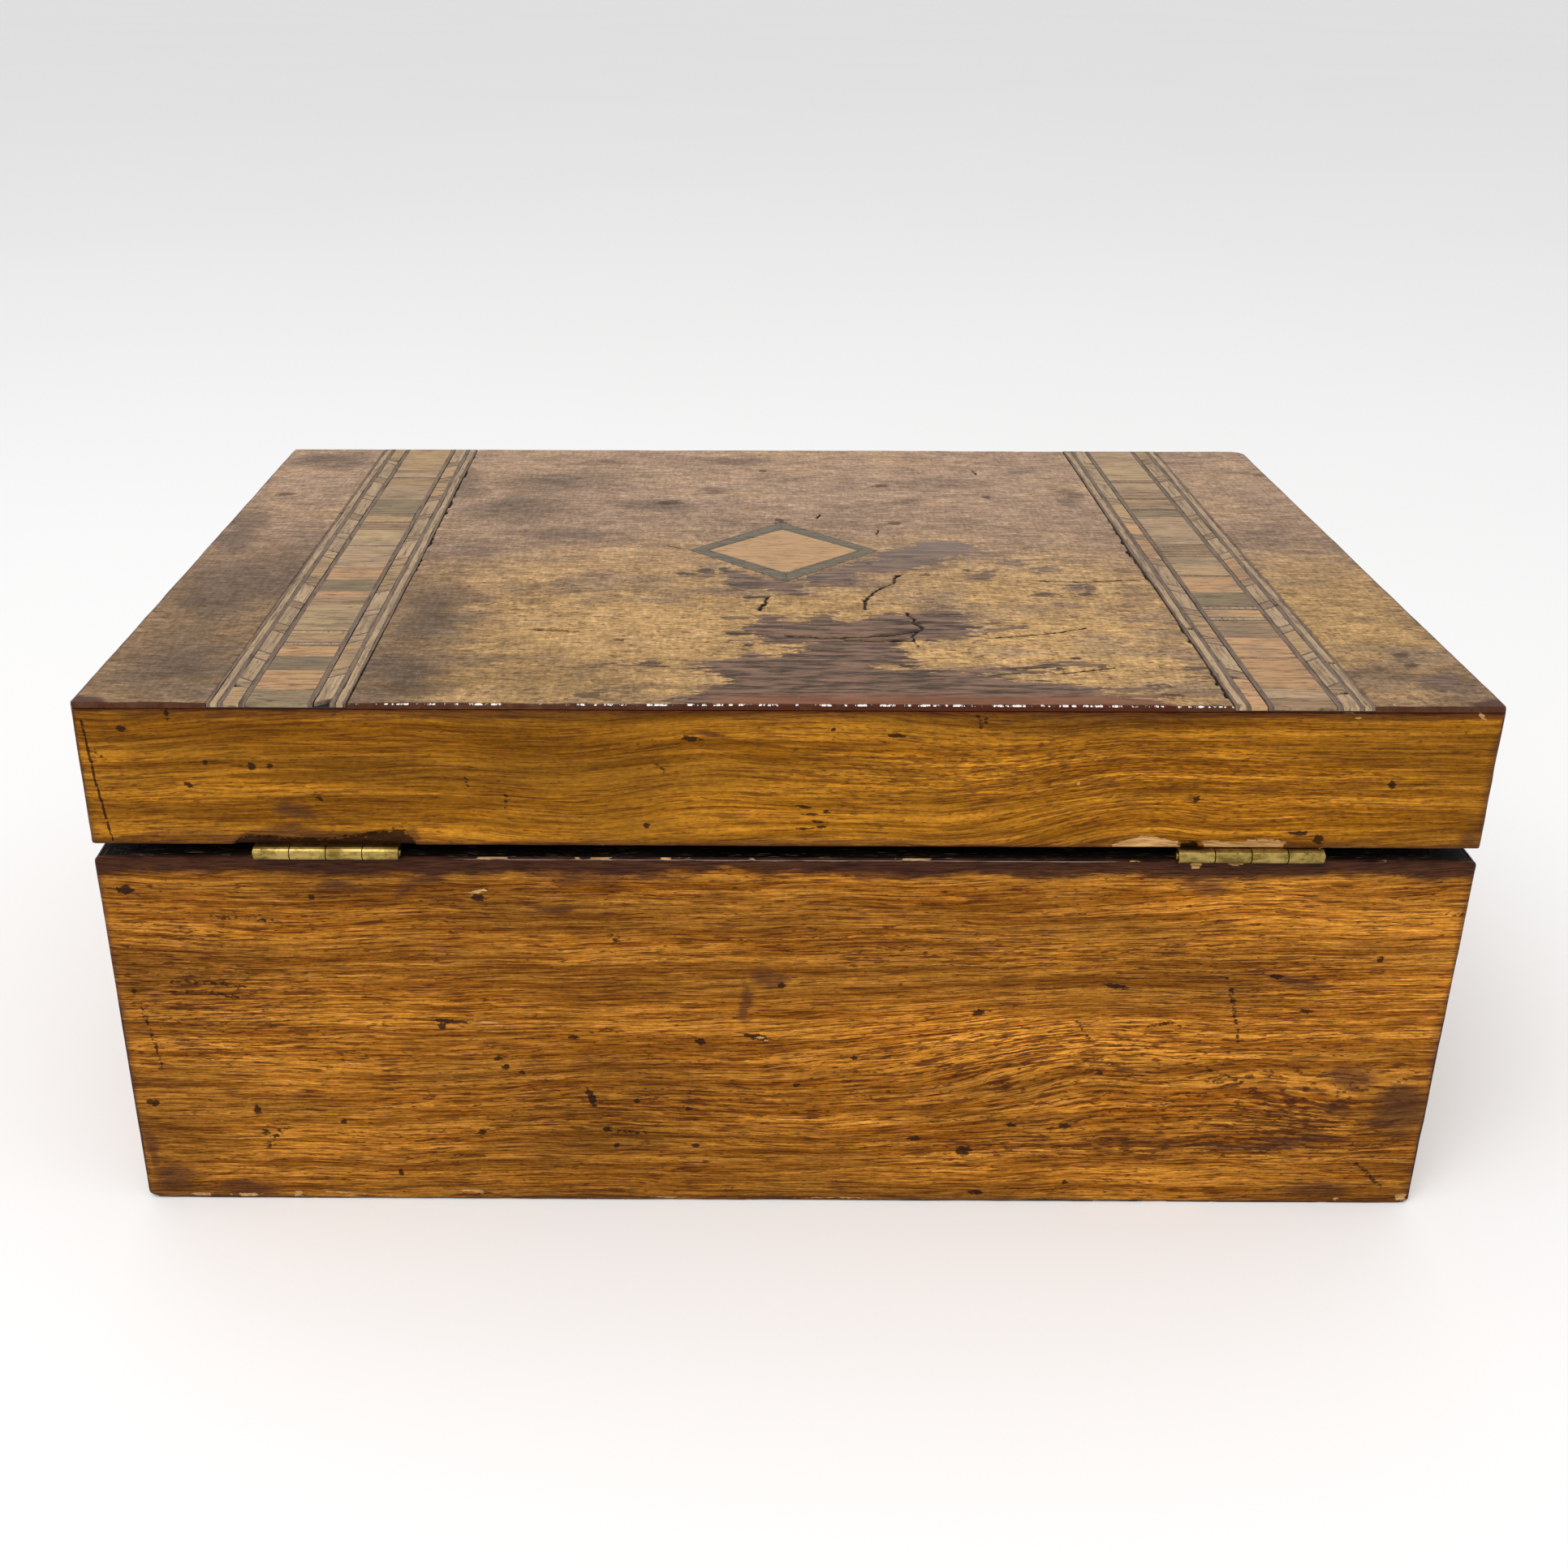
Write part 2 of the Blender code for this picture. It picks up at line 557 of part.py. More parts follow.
def link_plate(board, pivot):
    """The plate under the lid's front board, whose two notched hooks drop into the lock."""
    lift = (AXIS_Y - LOCK_Y) * math.sin(LID_TILT)
    length, width, thick = LINK_PLATE
    x, y, z = about(0, length), about(LOCK_Y, width), (LID_EDGE, LID_EDGE + thick)
    link = box("lock_link_plate", x, y, z, "brass", pivot)
    cut(board, box("link_recess", grow(x, FIT), grow(y, FIT), (z[0] - 1, z[1] + FIT), None, pivot))
    notch_top = RIM + lift - NOTCH[2]
    foot = RIM + lift - HOOK_REACH
    for index, hook_x in enumerate(HOOK_X):
        near, far = about(hook_x, HOOK_SIZE[0])
        points = [(near, z[0] + thick / 2), (near, notch_top), (near + NOTCH[0], notch_top),
                  (near + NOTCH[0], notch_top - NOTCH[1]), (near, notch_top - NOTCH[1]),
                  (near, foot), (far, foot), (far, z[0] + thick / 2)]
        join(link, plate(f"link_hook_{index}", points, about(LOCK_Y, HOOK_SIZE[1]), None, pivot,
                         upright=True))
    for index, screw_x in enumerate((-LINK_SCREW_X, LINK_SCREW_X)):
        head = (screw_x, LOCK_Y, LID_EDGE)
        title = f"link_screw_{index + 1}"
        sink, pilot = screw_hole(title, head, LOCK_SCREW, (0, 0, 1), pivot)
        cut(link, sink, pilot)
        cut(board, pilot)
        screw(title, head, LOCK_SCREW, (0, 0, 1), "brass", math.radians(80 - 60 * index), pivot)


def escutcheon(veneer, board):
    """A brass diamond let into the front, with the keyhole through it and the wood behind."""
    height = RIM - KEYHOLE_DROP
    floor = FRONT_GROOVE - HALF_Y
    shape = rhombus((0, height), ESCUTCHEON)
    room = rhombus((0, height), inset(ESCUTCHEON, -BAND_GAP))
    cut(veneer, plate("escutcheon_groove", room, (-HALF_Y - 1, floor), upright=True))
    cover = plate("escutcheon", shape, (-HALF_Y, floor - BAND_GAP), "brass", upright=True)
    deep = (-HALF_Y - 1, LOCK_Y - CASE_DEPTH / 2)
    middle = sum(deep) / 2
    round_part = rod("keyhole_round", (0, middle, height), KEYHOLE_RADIUS, deep[1] - deep[0],
                     (0, 1, 0))
    long_part = box("keyhole_slot", about(0, KEYHOLE_SLOT[0]), deep,
                    (height - KEYHOLE_SLOT[1], height))
    for piece in (cover, veneer, board):
        cut(piece, round_part, long_part)


# ---------------------------------------------------------------- assembly

def build_body():
    box("bottom_board", (-SHELL_X, SHELL_X), (-SHELL_Y, SHELL_Y), (0, BOTTOM_BOARD), "carcass")
    walls = side_walls("body", WALL_FOOT, WALL_TOP)
    veneers = side_veneers("body", 0, RIM)
    facings = rim_facings()
    paper = lining("body_lining", (WALL_FOOT, RIM - LINING_DROP), True)
    for side in BAND_CENTRES:
        front_band("body", side, veneers["front"], (0, RIM))
    lock_case(walls["front"], facings["front"], paper)
    lock_bolt()
    lock_spring()
    escutcheon(veneers["front"], walls["front"])
    return walls, facings


def build_lid(pivot):
    box("lid_top_board", (-SHELL_X, SHELL_X), (-SHELL_Y, SHELL_Y),
        (LID_BOARD_FOOT, LID_VENEER_TOP), "carcass", pivot)
    walls = side_walls("lid", LID_EDGE, LID_WALL_TOP, pivot)
    veneers = side_veneers("lid", LID_EDGE, LID_VENEER_TOP, pivot)
    top = box("lid_top_veneer", (-HALF_X, HALF_X), (-HALF_Y, HALF_Y),
              (LID_TOP - TOP_VENEER, LID_TOP), "top_veneer", pivot)
    lining("lid_lining", (LID_EDGE + LINING_DROP, LID_WALL_TOP), False, pivot)
    for side in BAND_CENTRES:
        top_band(side, top, pivot)
        front_band("lid", side, veneers["front"], (LID_EDGE, LID_VENEER_TOP), pivot)
    diamond(top, pivot)
    link_plate(walls["front"], pivot)
    return walls


def build():
    pivot = bpy.data.objects.new("lid_pivot", None)
    pivot.location = Vector((0, AXIS_Y, AXIS_Z)) * MM
    PARTS.objects.link(pivot)
    walls, facings = build_body()
    lid_walls = build_lid(pivot)
    for side in HINGE_CENTRES:
        hinge(side, walls, facings["back"], lid_walls, pivot)
    pivot.rotation_euler.x = LID_TILT


clear_scene()
PARTS = collection("hinged_inlaid_box")
CUTTERS = collection("cutters")
build()
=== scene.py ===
"""The looks of the veneered box: worn walnut, inlaid bands and brass hinges in a plain pale studio.

Lengths are in millimetres in the frame's own axes, and MM turns them into metres. The pieces of the
lid are built level, as they lie when the lid's top is horizontal, and LEVEL_TO_LID tilts them into place.
"""

import json
import math

import bmesh
import bpy
import numpy as np
from mathutils import Matrix, Vector

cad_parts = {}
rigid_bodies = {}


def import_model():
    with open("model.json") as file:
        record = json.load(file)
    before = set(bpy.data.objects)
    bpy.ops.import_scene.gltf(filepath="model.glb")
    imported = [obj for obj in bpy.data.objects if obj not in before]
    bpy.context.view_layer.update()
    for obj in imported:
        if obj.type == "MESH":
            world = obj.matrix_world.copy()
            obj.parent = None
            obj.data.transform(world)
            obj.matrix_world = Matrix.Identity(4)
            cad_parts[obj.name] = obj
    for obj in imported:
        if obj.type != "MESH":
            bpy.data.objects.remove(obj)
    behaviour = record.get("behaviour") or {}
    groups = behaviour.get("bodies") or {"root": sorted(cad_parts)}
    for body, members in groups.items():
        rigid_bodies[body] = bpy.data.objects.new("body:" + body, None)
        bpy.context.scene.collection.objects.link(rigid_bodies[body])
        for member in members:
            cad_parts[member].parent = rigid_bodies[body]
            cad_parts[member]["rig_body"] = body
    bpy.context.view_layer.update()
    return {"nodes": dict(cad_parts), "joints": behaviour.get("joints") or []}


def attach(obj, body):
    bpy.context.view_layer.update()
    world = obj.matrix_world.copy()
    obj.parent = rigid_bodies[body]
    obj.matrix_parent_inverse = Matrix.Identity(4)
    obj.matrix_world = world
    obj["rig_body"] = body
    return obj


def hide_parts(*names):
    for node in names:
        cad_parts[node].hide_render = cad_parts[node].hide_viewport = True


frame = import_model()

MM = 0.001

# Camera, from the photograph's perspective
IMAGE_SENSOR = 36.0
LENS = 41.33
CAMERA_PLACE = (12.5, 460.3, 277.85)
CAMERA_DOWN = 25.344      # degrees below level
CAMERA_YAW = 0.284
CAMERA_ROLL = 0.087
CAMERA_SHIFT = 0.041

# Light
SKY = 0.78                # strength of the world's even light
KEY_PLACE = (0.35, 1.0, 1.5)    # in metres
KEY_SIZE = 1.2
KEY_POWER = 15.5
FLOOR_RADIUS = 30.0       # in metres


def lid_tilt():
    """How far the lid is turned about its hinge at rest, from the slope of its top."""
    mesh = frame["nodes"]["lid_top_veneer"].data
    top = max((face for face in mesh.polygons if face.normal.z > 0.9), key=lambda face: face.area)
    return math.atan2(-top.normal.y, top.normal.z)


AXIS = Vector(next(joint["pos_m"] for joint in frame["joints"] if joint["name"] == "lid_hinge"))
LEVEL_TO_LID = Matrix.Translation(AXIS) @ Matrix.Rotation(lid_tilt(), 4, "X") @ Matrix.Translation(-AXIS)
BODY_OF = {name: node["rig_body"] for name, node in frame["nodes"].items()}


def levelling(name):
    """The matrix that takes a CAD node's points to the level frame, if it is on the lid."""
    return LEVEL_TO_LID.inverted() if BODY_OF[name] == "lid" else Matrix.Identity(4)


def node_box(name):
    """(low corner, high corner) of a CAD node in millimetres, in the level frame if it is on the lid."""
    turn = levelling(name)
    points = np.array([turn @ vertex.co for vertex in frame["nodes"][name].data.vertices]) / MM
    return points.min(0), points.max(0)


HALF_WIDTH, HALF_DEPTH, LID_TOP = node_box("lid_top_veneer")[1]
RIM = node_box("body_back_veneer")[1][2]
LID_EDGE = node_box("lid_back_veneer")[0][2]
TOP_VENEER = 1.2          # thickness of the veneer of the top
INLAY = 0.85              # thickness of the inlay
GROUND_DEPTH = 0.9        # from the top down to the ground that the inlay lies on
DIAMOND_INLAY = 0.9
FRONT_INLAY = 0.45        # thickness of the bands on the front
SEAM = 0.15               # gap between veneer and inlay
BEVEL = 0.08              # broken edge of a piece of veneer
WORN_EDGE = 0.24          # broken edge of the veneer of the top
ARRIS = 0.03              # broken edge of a piece of inlay
SHARP_EDGE = math.radians(35)


# ---- Noise and fields ----

def value_noise(x, y, seed):
    """Smooth noise from 0 to 1 with features one unit across."""
    lattice = np.random.default_rng(seed).random((101, 97))
    left, low = np.floor(x).astype(int), np.floor(y).astype(int)
    fx, fy = x - left, y - low
    fx, fy = fx * fx * (3 - 2 * fx), fy * fy * (3 - 2 * fy)

    def at(i, j):
        return lattice[(left + i) % 101, (low + j) % 97]

    return ((at(0, 0) * (1 - fx) + at(1, 0) * fx) * (1 - fy)
            + (at(0, 1) * (1 - fx) + at(1, 1) * fx) * fy)


def fractal(x, y, seed, octaves=4):
    """Layered noise from -1 to 1."""
    total = sum(value_noise(x * 2 ** k, y * 2 ** k, seed + k) / 2 ** k for k in range(octaves))
    return total * 2 / (2 - 2 ** (1 - octaves)) - 1


def smooth(low, high, value):
    """A soft step from 0 at low to 1 at high."""
    t = np.clip((value - low) / (high - low), 0, 1)
    return t * t * (3 - 2 * t)


def turned(x, y, across, up, long, wide, turn=0):
    """How far each point lies along and aside from a place's middle, in its half length and width."""
    c, s = math.cos(math.radians(turn)), math.sin(math.radians(turn))
    return ((x - across) * c + (y - up) * s) / long, ((y - up) * c - (x - across) * s) / wide


def spots(x, y, places, fray=0.0, seed=0):
    """How deep each point lies in the nearest spot: 1 in its middle, 0 on its edge, less outside.
    A spot is (x, y, half length, half width) and a turn in degrees if it has one. fray bends the
    edges, in mm."""
    if fray:
        x, y = (x + fray * 1.6 * fractal(x / 11, y / 6, seed),
                y + fray * fractal(x / 9, y / 5, seed + 20))
    depth = np.full(np.shape(x), -3.0)
    for place in places:
        depth = np.maximum(depth, 1 - np.hypot(*turned(x, y, *place)))
    return depth


def path_distance(x, y, path):
    """Distance in mm from each point to a path of straight runs."""
    nearest = np.full(np.shape(x), 1e6)
    for (x0, y0), (x1, y1) in zip(path, path[1:]):
        dx, dy = x1 - x0, y1 - y0
        t = np.clip(((x - x0) * dx + (y - y0) * dy) / (dx * dx + dy * dy), 0, 1)
        nearest = np.minimum(nearest, np.hypot(x - x0 - t * dx, y - y0 - t * dy))
    return nearest


def inside(x, y, outline, squeeze=1.0):
    """Distance in mm inside a closed outline, negative outside. Lengths along x count squeeze times,
    so that noise added to the distance frays the left and right ends more."""
    closed = [(across * squeeze, up) for across, up in outline + outline[:1]]
    x = x * squeeze
    within = np.zeros(np.shape(x), bool)
    for (x0, y0), (x1, y1) in zip(closed, closed[1:]):
        if y0 != y1:
            within ^= ((y0 > y) != (y1 > y)) & (x < x0 + (y - y0) * (x1 - x0) / (y1 - y0))
    return np.where(within, 1, -1) * path_distance(x, y, closed)


def strokes(x, y, places):
    """Like spots, for thin strokes, each of which is (half width, path)."""
    return np.maximum.reduce([1 - path_distance(x, y, path) / half for half, path in places]
                             or [np.full(np.shape(x), -3.0)])


def glow(x, y, places):
    """The sum of soft patches, each (x, y, half length, half width, strength) and a turn if any."""
    total = np.zeros(np.shape(x))
    for across, up, long, wide, amount, *turn in places:
        along, aside = turned(x, y, across, up, long, wide, *turn)
        total += amount * np.exp(-along * along - aside * aside)
    return total


# ---- Worn corners ----

def rounded(i, j, at_i, at_j, radius_i, radius_j=None, focus=None, elsewhere=1):
    """An edge to be rounded, along the axis that is neither i nor j: where it lies, its radius on each
    axis, the place along it where the wear is strongest, if any, and the share of it elsewhere."""
    return i, j, at_i, at_j, radius_i, radius_j or radius_i, focus, elsewhere


def both(i, j, at_i, *rest):
    """Two such edges, on either side of the box."""
    return [rounded(i, j, side * at_i, *rest) for side in (1, -1)]


BODY_CORNERS = [
    *both(0, 1, HALF_WIDTH, HALF_DEPTH, 1.3),
    rounded(0, 1, HALF_WIDTH, -HALF_DEPTH, 1.3),
    rounded(0, 1, -HALF_WIDTH, -HALF_DEPTH, 1.5),
    rounded(0, 2, HALF_WIDTH, 0.0, 8.0, 2.2, HALF_DEPTH, 0.35),
    rounded(0, 2, -HALF_WIDTH, 0.0, 3.5, 1.5, HALF_DEPTH, 0.5),
    *both(1, 2, HALF_DEPTH, 0.0, 0.9),
    *both(0, 2, HALF_WIDTH, RIM, 1.6, 1.3, HALF_DEPTH, 0.4),
    *both(1, 2, HALF_DEPTH, RIM, 0.5),
]
LID_CORNERS = [
    *both(0, 1, HALF_WIDTH, HALF_DEPTH, 1.6),
    rounded(0, 1, HALF_WIDTH, -HALF_DEPTH, 2.3),
    rounded(0, 1, -HALF_WIDTH, -HALF_DEPTH, 6.2, 6.2, LID_TOP, 0.4),
    *both(0, 2, HALF_WIDTH, LID_TOP, 0.8),
    rounded(1, 2, HALF_DEPTH, LID_TOP, 0.7),
    rounded(1, 2, -HALF_DEPTH, LID_TOP, 1.0),
    *both(1, 2, HALF_DEPTH, LID_EDGE, 0.4),
    *both(0, 2, HALF_WIDTH, LID_EDGE, 0.4),
]
CORNERS = {"body": BODY_CORNERS, "lid": LID_CORNERS}
WEAR_REACH = 15.0         # how far a strongly worn corner's wear runs along its edge


def soften(points, corners):
    """Rounds the edges of everything in a part alike: square shells become round ones, so the
    layers of veneer and board keep their order and their thickness."""
    points = points.copy()
    for number, (i, j, ci, cj, ri, rj, focus, elsewhere) in enumerate(corners):
        rest = points[:, 3 - i - j]
        wear = 1 + 0.3 * fractal(rest / 9, rest * 0 + number, 400 + number, 3)
        if focus is not None:
            near = np.exp(-((rest - focus) / WEAR_REACH) ** 2)
            wear *= elsewhere + (1 - elsewhere) * near
        radius_i, radius_j = ri * wear, rj * wear
        side_i = 1 if ci > 0 else -1
        side_j = 1 if (cj > 0 if j == 1 else cj in (RIM, LID_TOP)) else -1
        a = (points[:, i] - ci) * side_i / radius_i + 1
        b = (points[:, j] - cj) * side_j / radius_j + 1
        near_edge = (a > 0) & (b > 0)
        scale = np.where(near_edge, np.maximum(a, b) / np.maximum(np.hypot(a, b), 1e-9), 1) - 1
        points[:, i] += np.where(near_edge, side_i * radius_i * a * scale, 0)
        points[:, j] += np.where(near_edge, side_j * radius_j * b * scale, 0)
    return points


# ---- Mesh building ----

def linked(name, data):
    """A new object in the scene."""
    piece = bpy.data.objects.new(name, data)
    bpy.context.scene.collection.objects.link(piece)
    return piece


def lines(low, high, step, fine=0.2, close=(), bevel=BEVEL):
    """Grid lines from low to high: step apart, and closer near the ends and in the close
    stretches, each of which is (start, end, spacing)."""
    places = [low, low + bevel]
    while places[-1] < high - bevel:
        x = places[-1]
        size = min(step, fine + 0.25 * min(x - low, high - x))
        for start, end, spacing in close:
            size = min(size, spacing + 0.15 * max(start - x, x - end, 0))
        places.append(x + max(size, fine))
    inner = np.array(places[1:])
    inner = inner[0] + (inner - inner[0]) * (high - bevel - inner[0]) / (inner[-1] - inner[0])
    return np.concatenate([[low], inner, [high]])


class Shape:
    """Gathers closed solids, the material of each and their fields, and makes one piece of them."""

    def __init__(self):
        self.points, self.faces, self.woods, self.fields, self.count = [], [], [], [], 0

    def add(self, points, faces, wood=0, fields=None):
        self.faces += [[corner + self.count for corner in face] for face in faces]
        self.woods += [wood] * len(faces)
        self.points.append(points)
        self.fields.append((len(points), fields or {}))
        self.count += len(points)

    def field(self, name):
        return np.concatenate([np.broadcast_to(fields.get(name, 0.0), count)
                               for count, fields in self.fields])

    def build(self, node, materials, body, corners=()):
        """Makes the piece that stands for that CAD node, with its edges rounded by the corners."""
        name = f"{node}_worn"
        mesh = bpy.data.meshes.new(name)
        points = soften(np.concatenate(self.points), corners)
        mesh.from_pydata((points * MM).tolist(), [], self.faces)
        for material in materials:
            mesh.materials.append(material)
        mesh.polygons.foreach_set("material_index", self.woods)
        for field in sorted(set().union(*(fields for count, fields in self.fields))):
            values = mesh.attributes.new(field, "FLOAT", "POINT")
            values.data.foreach_set("value", self.field(field).astype(np.float32))
        mesh.shade_smooth()
        mesh.set_sharp_from_angle(angle=SHARP_EDGE)
        piece = linked(name, mesh)
        if body == "lid":
            piece.matrix_world = LEVEL_TO_LID
        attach(piece, body)
        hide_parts(node)


def slab(shape, us, vs, place, thickness, wood=0, relief=None, fields=None, bevel=BEVEL):
    """Adds a closed panel. place(u, v, depth) gives points below the face, relief(u, v) is the
    height of the face, and fields are functions of u and v or numbers."""
    u, v = (grid.ravel() for grid in np.meshgrid(us, vs, indexing="ij"))
    index = np.arange(len(u)).reshape(len(us), len(vs))
    ring = np.concatenate([index[:-1, 0], index[-1, :-1], index[:0:-1, -1], index[0, :0:-1]])
    depth = np.zeros(len(u)) if relief is None else -relief(u, v)
    depth[ring] += bevel
    back = place(u[ring], v[ring], np.full(len(ring), thickness))
    points = np.concatenate([place(u, v, depth), back])
    quads = np.stack([index[:-1, :-1], index[1:, :-1], index[1:, 1:], index[:-1, 1:]], -1)
    after = np.roll(np.arange(len(ring)), -1)
    base = len(u) + np.arange(len(ring))
    skirt = np.stack([ring[after], ring, base, base[after]], -1)
    faces = quads.reshape(-1, 4).tolist() + skirt.tolist() + [base[::-1].tolist()]
    corner, right, up, under = (place(np.array([a]), np.array([b]), np.array([c]))[0]
                                for a, b, c in ((us[0], vs[0], 0.0), (us[-1], vs[0], 0.0),
                                                (us[0], vs[-1], 0.0), (us[0], vs[0], 1.0)))
    if np.dot(np.cross(right - corner, up - corner), under - corner) > 0:
        faces = [face[::-1] for face in faces]
    values = {}
    for name, field in (fields or {}).items():
        value = field(u, v) if callable(field) else np.full(len(u), float(field))
        values[name] = np.concatenate([value, value[ring]])
    shape.add(points, faces, wood, values)


def tile(shape, place, u0, u1, v0, v1, wood, tone, lean=0.0, wander=None):
    """Adds one strip or block of inlay. lean slants its ends and wander(v) bends it sideways."""
    middle = (u0 + u1) / 2

    def bent(u, v, depth):
        v = v + lean * (u - middle)
        return place(u + (wander(v) if wander else 0), v, depth)

    us = np.array([u0, u0 + ARRIS, u1 - ARRIS, u1])
    slab(shape, us, lines(v0, v1, 2.5, 0.4, bevel=ARRIS), bent, INLAY, wood, fields={"tone": tone},
         bevel=ARRIS)


# ---- Materials ----

def srgb(colour):
    """A colour from 0-255 display values to the linear values that shaders take."""
    def linear(value):
        value /= 255
        return value / 12.92 if value <= 0.04045 else ((value + 0.055) / 1.055) ** 2.4
    return (*(linear(value) for value in colour), 1.0)


def scaled_colour(colour, factor):
    return tuple(factor * value for value in colour)


class Shade:
    """A short way to write a material. order says which axes run along, across and into the grain.
    Each noise takes the next seed, so the order in which a material asks for them matters."""

    def __init__(self, name, order="xyz", seed=0):
        self.material = bpy.data.materials.new(name)
        self.material.use_nodes = True
        self.tree = self.material.node_tree
        self.tree.nodes.clear()
        self.seed = seed
        self.surface = self.tree.nodes.new("ShaderNodeBsdfPrincipled")
        output = self.tree.nodes.new("ShaderNodeOutputMaterial")
        self.tree.links.new(self.surface.outputs["BSDF"], output.inputs["Surface"])
        place = self.tree.nodes.new("ShaderNodeTexCoord").outputs["Object"]
        axes = self.node("ShaderNodeSeparateXYZ", [self.scaled(place, (1 / MM,) * 3)]).outputs
        self.place = self.joined(*(axes["xyz".index(axis)] for axis in order))
        self.colour = None

    def node(self, kind, values=(), **settings):
        node = self.tree.nodes.new(kind)
        for name, value in settings.items():
            setattr(node, name, value)
        for socket, value in zip(node.inputs, values):
            self.plug(socket, value)
        return node

    def plug(self, socket, value):
        if isinstance(value, bpy.types.NodeSocket):
            self.tree.links.new(value, socket)
        else:
            socket.default_value = value

    def scaled(self, place, scale, offset=(0, 0, 0)):
        return self.node("ShaderNodeVectorMath", [place, scale, offset],
                         operation="MULTIPLY_ADD").outputs[0]

    def joined(self, x, y, z):
        return self.node("ShaderNodeCombineXYZ", [x, y, z]).outputs[0]

    def math(self, operation, *values):
        return self.node("ShaderNodeMath", values, operation=operation).outputs[0]

    def add(self, a, b):
        return self.math("ADD", a, b)

    def strength(self, factor, amount):
        return self.math("MULTIPLY", factor, amount)

    def times_plus(self, value, factor, extra):
        return self.math("MULTIPLY_ADD", value, factor, extra)

    def centred(self, noise, span):
        """Noise about 0 that spans that much."""
        return self.times_plus(noise, span, -span / 2)

    def noise(self, size, detail=2.0, rough=0.5, place=None):
        """Noise about 0.5, with features of that size in mm along, across and into the grain."""
        self.seed += 1
        offset = (self.seed * 7.31, self.seed * 3.17, self.seed * 5.77)
        scaled = self.scaled(place or self.place, tuple(1 / s for s in size), offset)
        node = self.node("ShaderNodeTexNoise")
        for socket, value in (("Vector", scaled), ("Scale", 1.0), ("Detail", detail), ("Roughness", rough)):
            self.plug(node.inputs[socket], value)
        return node.outputs[0]

    def step(self, value, low, high):
        """A soft step, from 0 where the value is low to 1 where it is high."""
        return self.node("ShaderNodeMapRange", [value, low, high],
                         interpolation_type="SMOOTHSTEP").outputs[0]

    def field(self, name):
        return self.node("ShaderNodeAttribute", attribute_name=name).outputs["Fac"]

    def broken(self, name, noise, low, high):
        """The soft step of a field, its edges broken up by noise."""
        return self.step(self.add(self.field(name), noise), low, high)

    def blend(self, factor, a, b, mode="MIX"):
        """A mix of two colours, each of them a socket or (red, green, blue) from 0 to 255."""
        node = self.node("ShaderNodeMix", data_type="RGBA", blend_type=mode)
        for number, value in ((0, factor), (6, a), (7, b)):
            self.plug(node.inputs[number], srgb(value) if isinstance(value, tuple) else value)
        return node.outputs[2]

    def paint(self, colour, where, amount=1.0, mode="MIX"):
        """Lays a colour over what is there, as strongly as where times amount says."""
        self.colour = self.blend(self.strength(where, amount), self.colour, colour, mode)

    def value_change(self, factor, low, high):
        """Multiplies the colour's brightness by low where the factor is 0 and by high where it is 1."""
        grey = self.node("ShaderNodeMapRange", [factor, 0.0, 1.0, low, high]).outputs[0]
        self.colour = self.blend(1.0, self.colour, self.joined(grey, grey, grey), "MULTIPLY")

    def vary(self, noise, low, high, start=0.3, end=0.7):
        """Changes the brightness with noise, from low to high."""
        self.value_change(self.step(noise, start, end), low, high)

    def done(self, roughness=0.5, height=None, depth=0.05, metallic=0.0, specular=0.3):
        """Finishes the material. height's full range is depth mm of bump."""
        for socket, value in (("Base Color", self.colour), ("Roughness", roughness),
                              ("Metallic", metallic), ("Specular IOR Level", specular)):
            self.plug(self.surface.inputs[socket], value)
        if height is not None:
            bump = self.node("ShaderNodeBump")
            for socket, value in (("Height", height), ("Strength", 1.0), ("Distance", depth * MM)):
                self.plug(bump.inputs[socket], value)
            self.plug(self.surface.inputs["Normal"], bump.outputs[0])
        return self.material


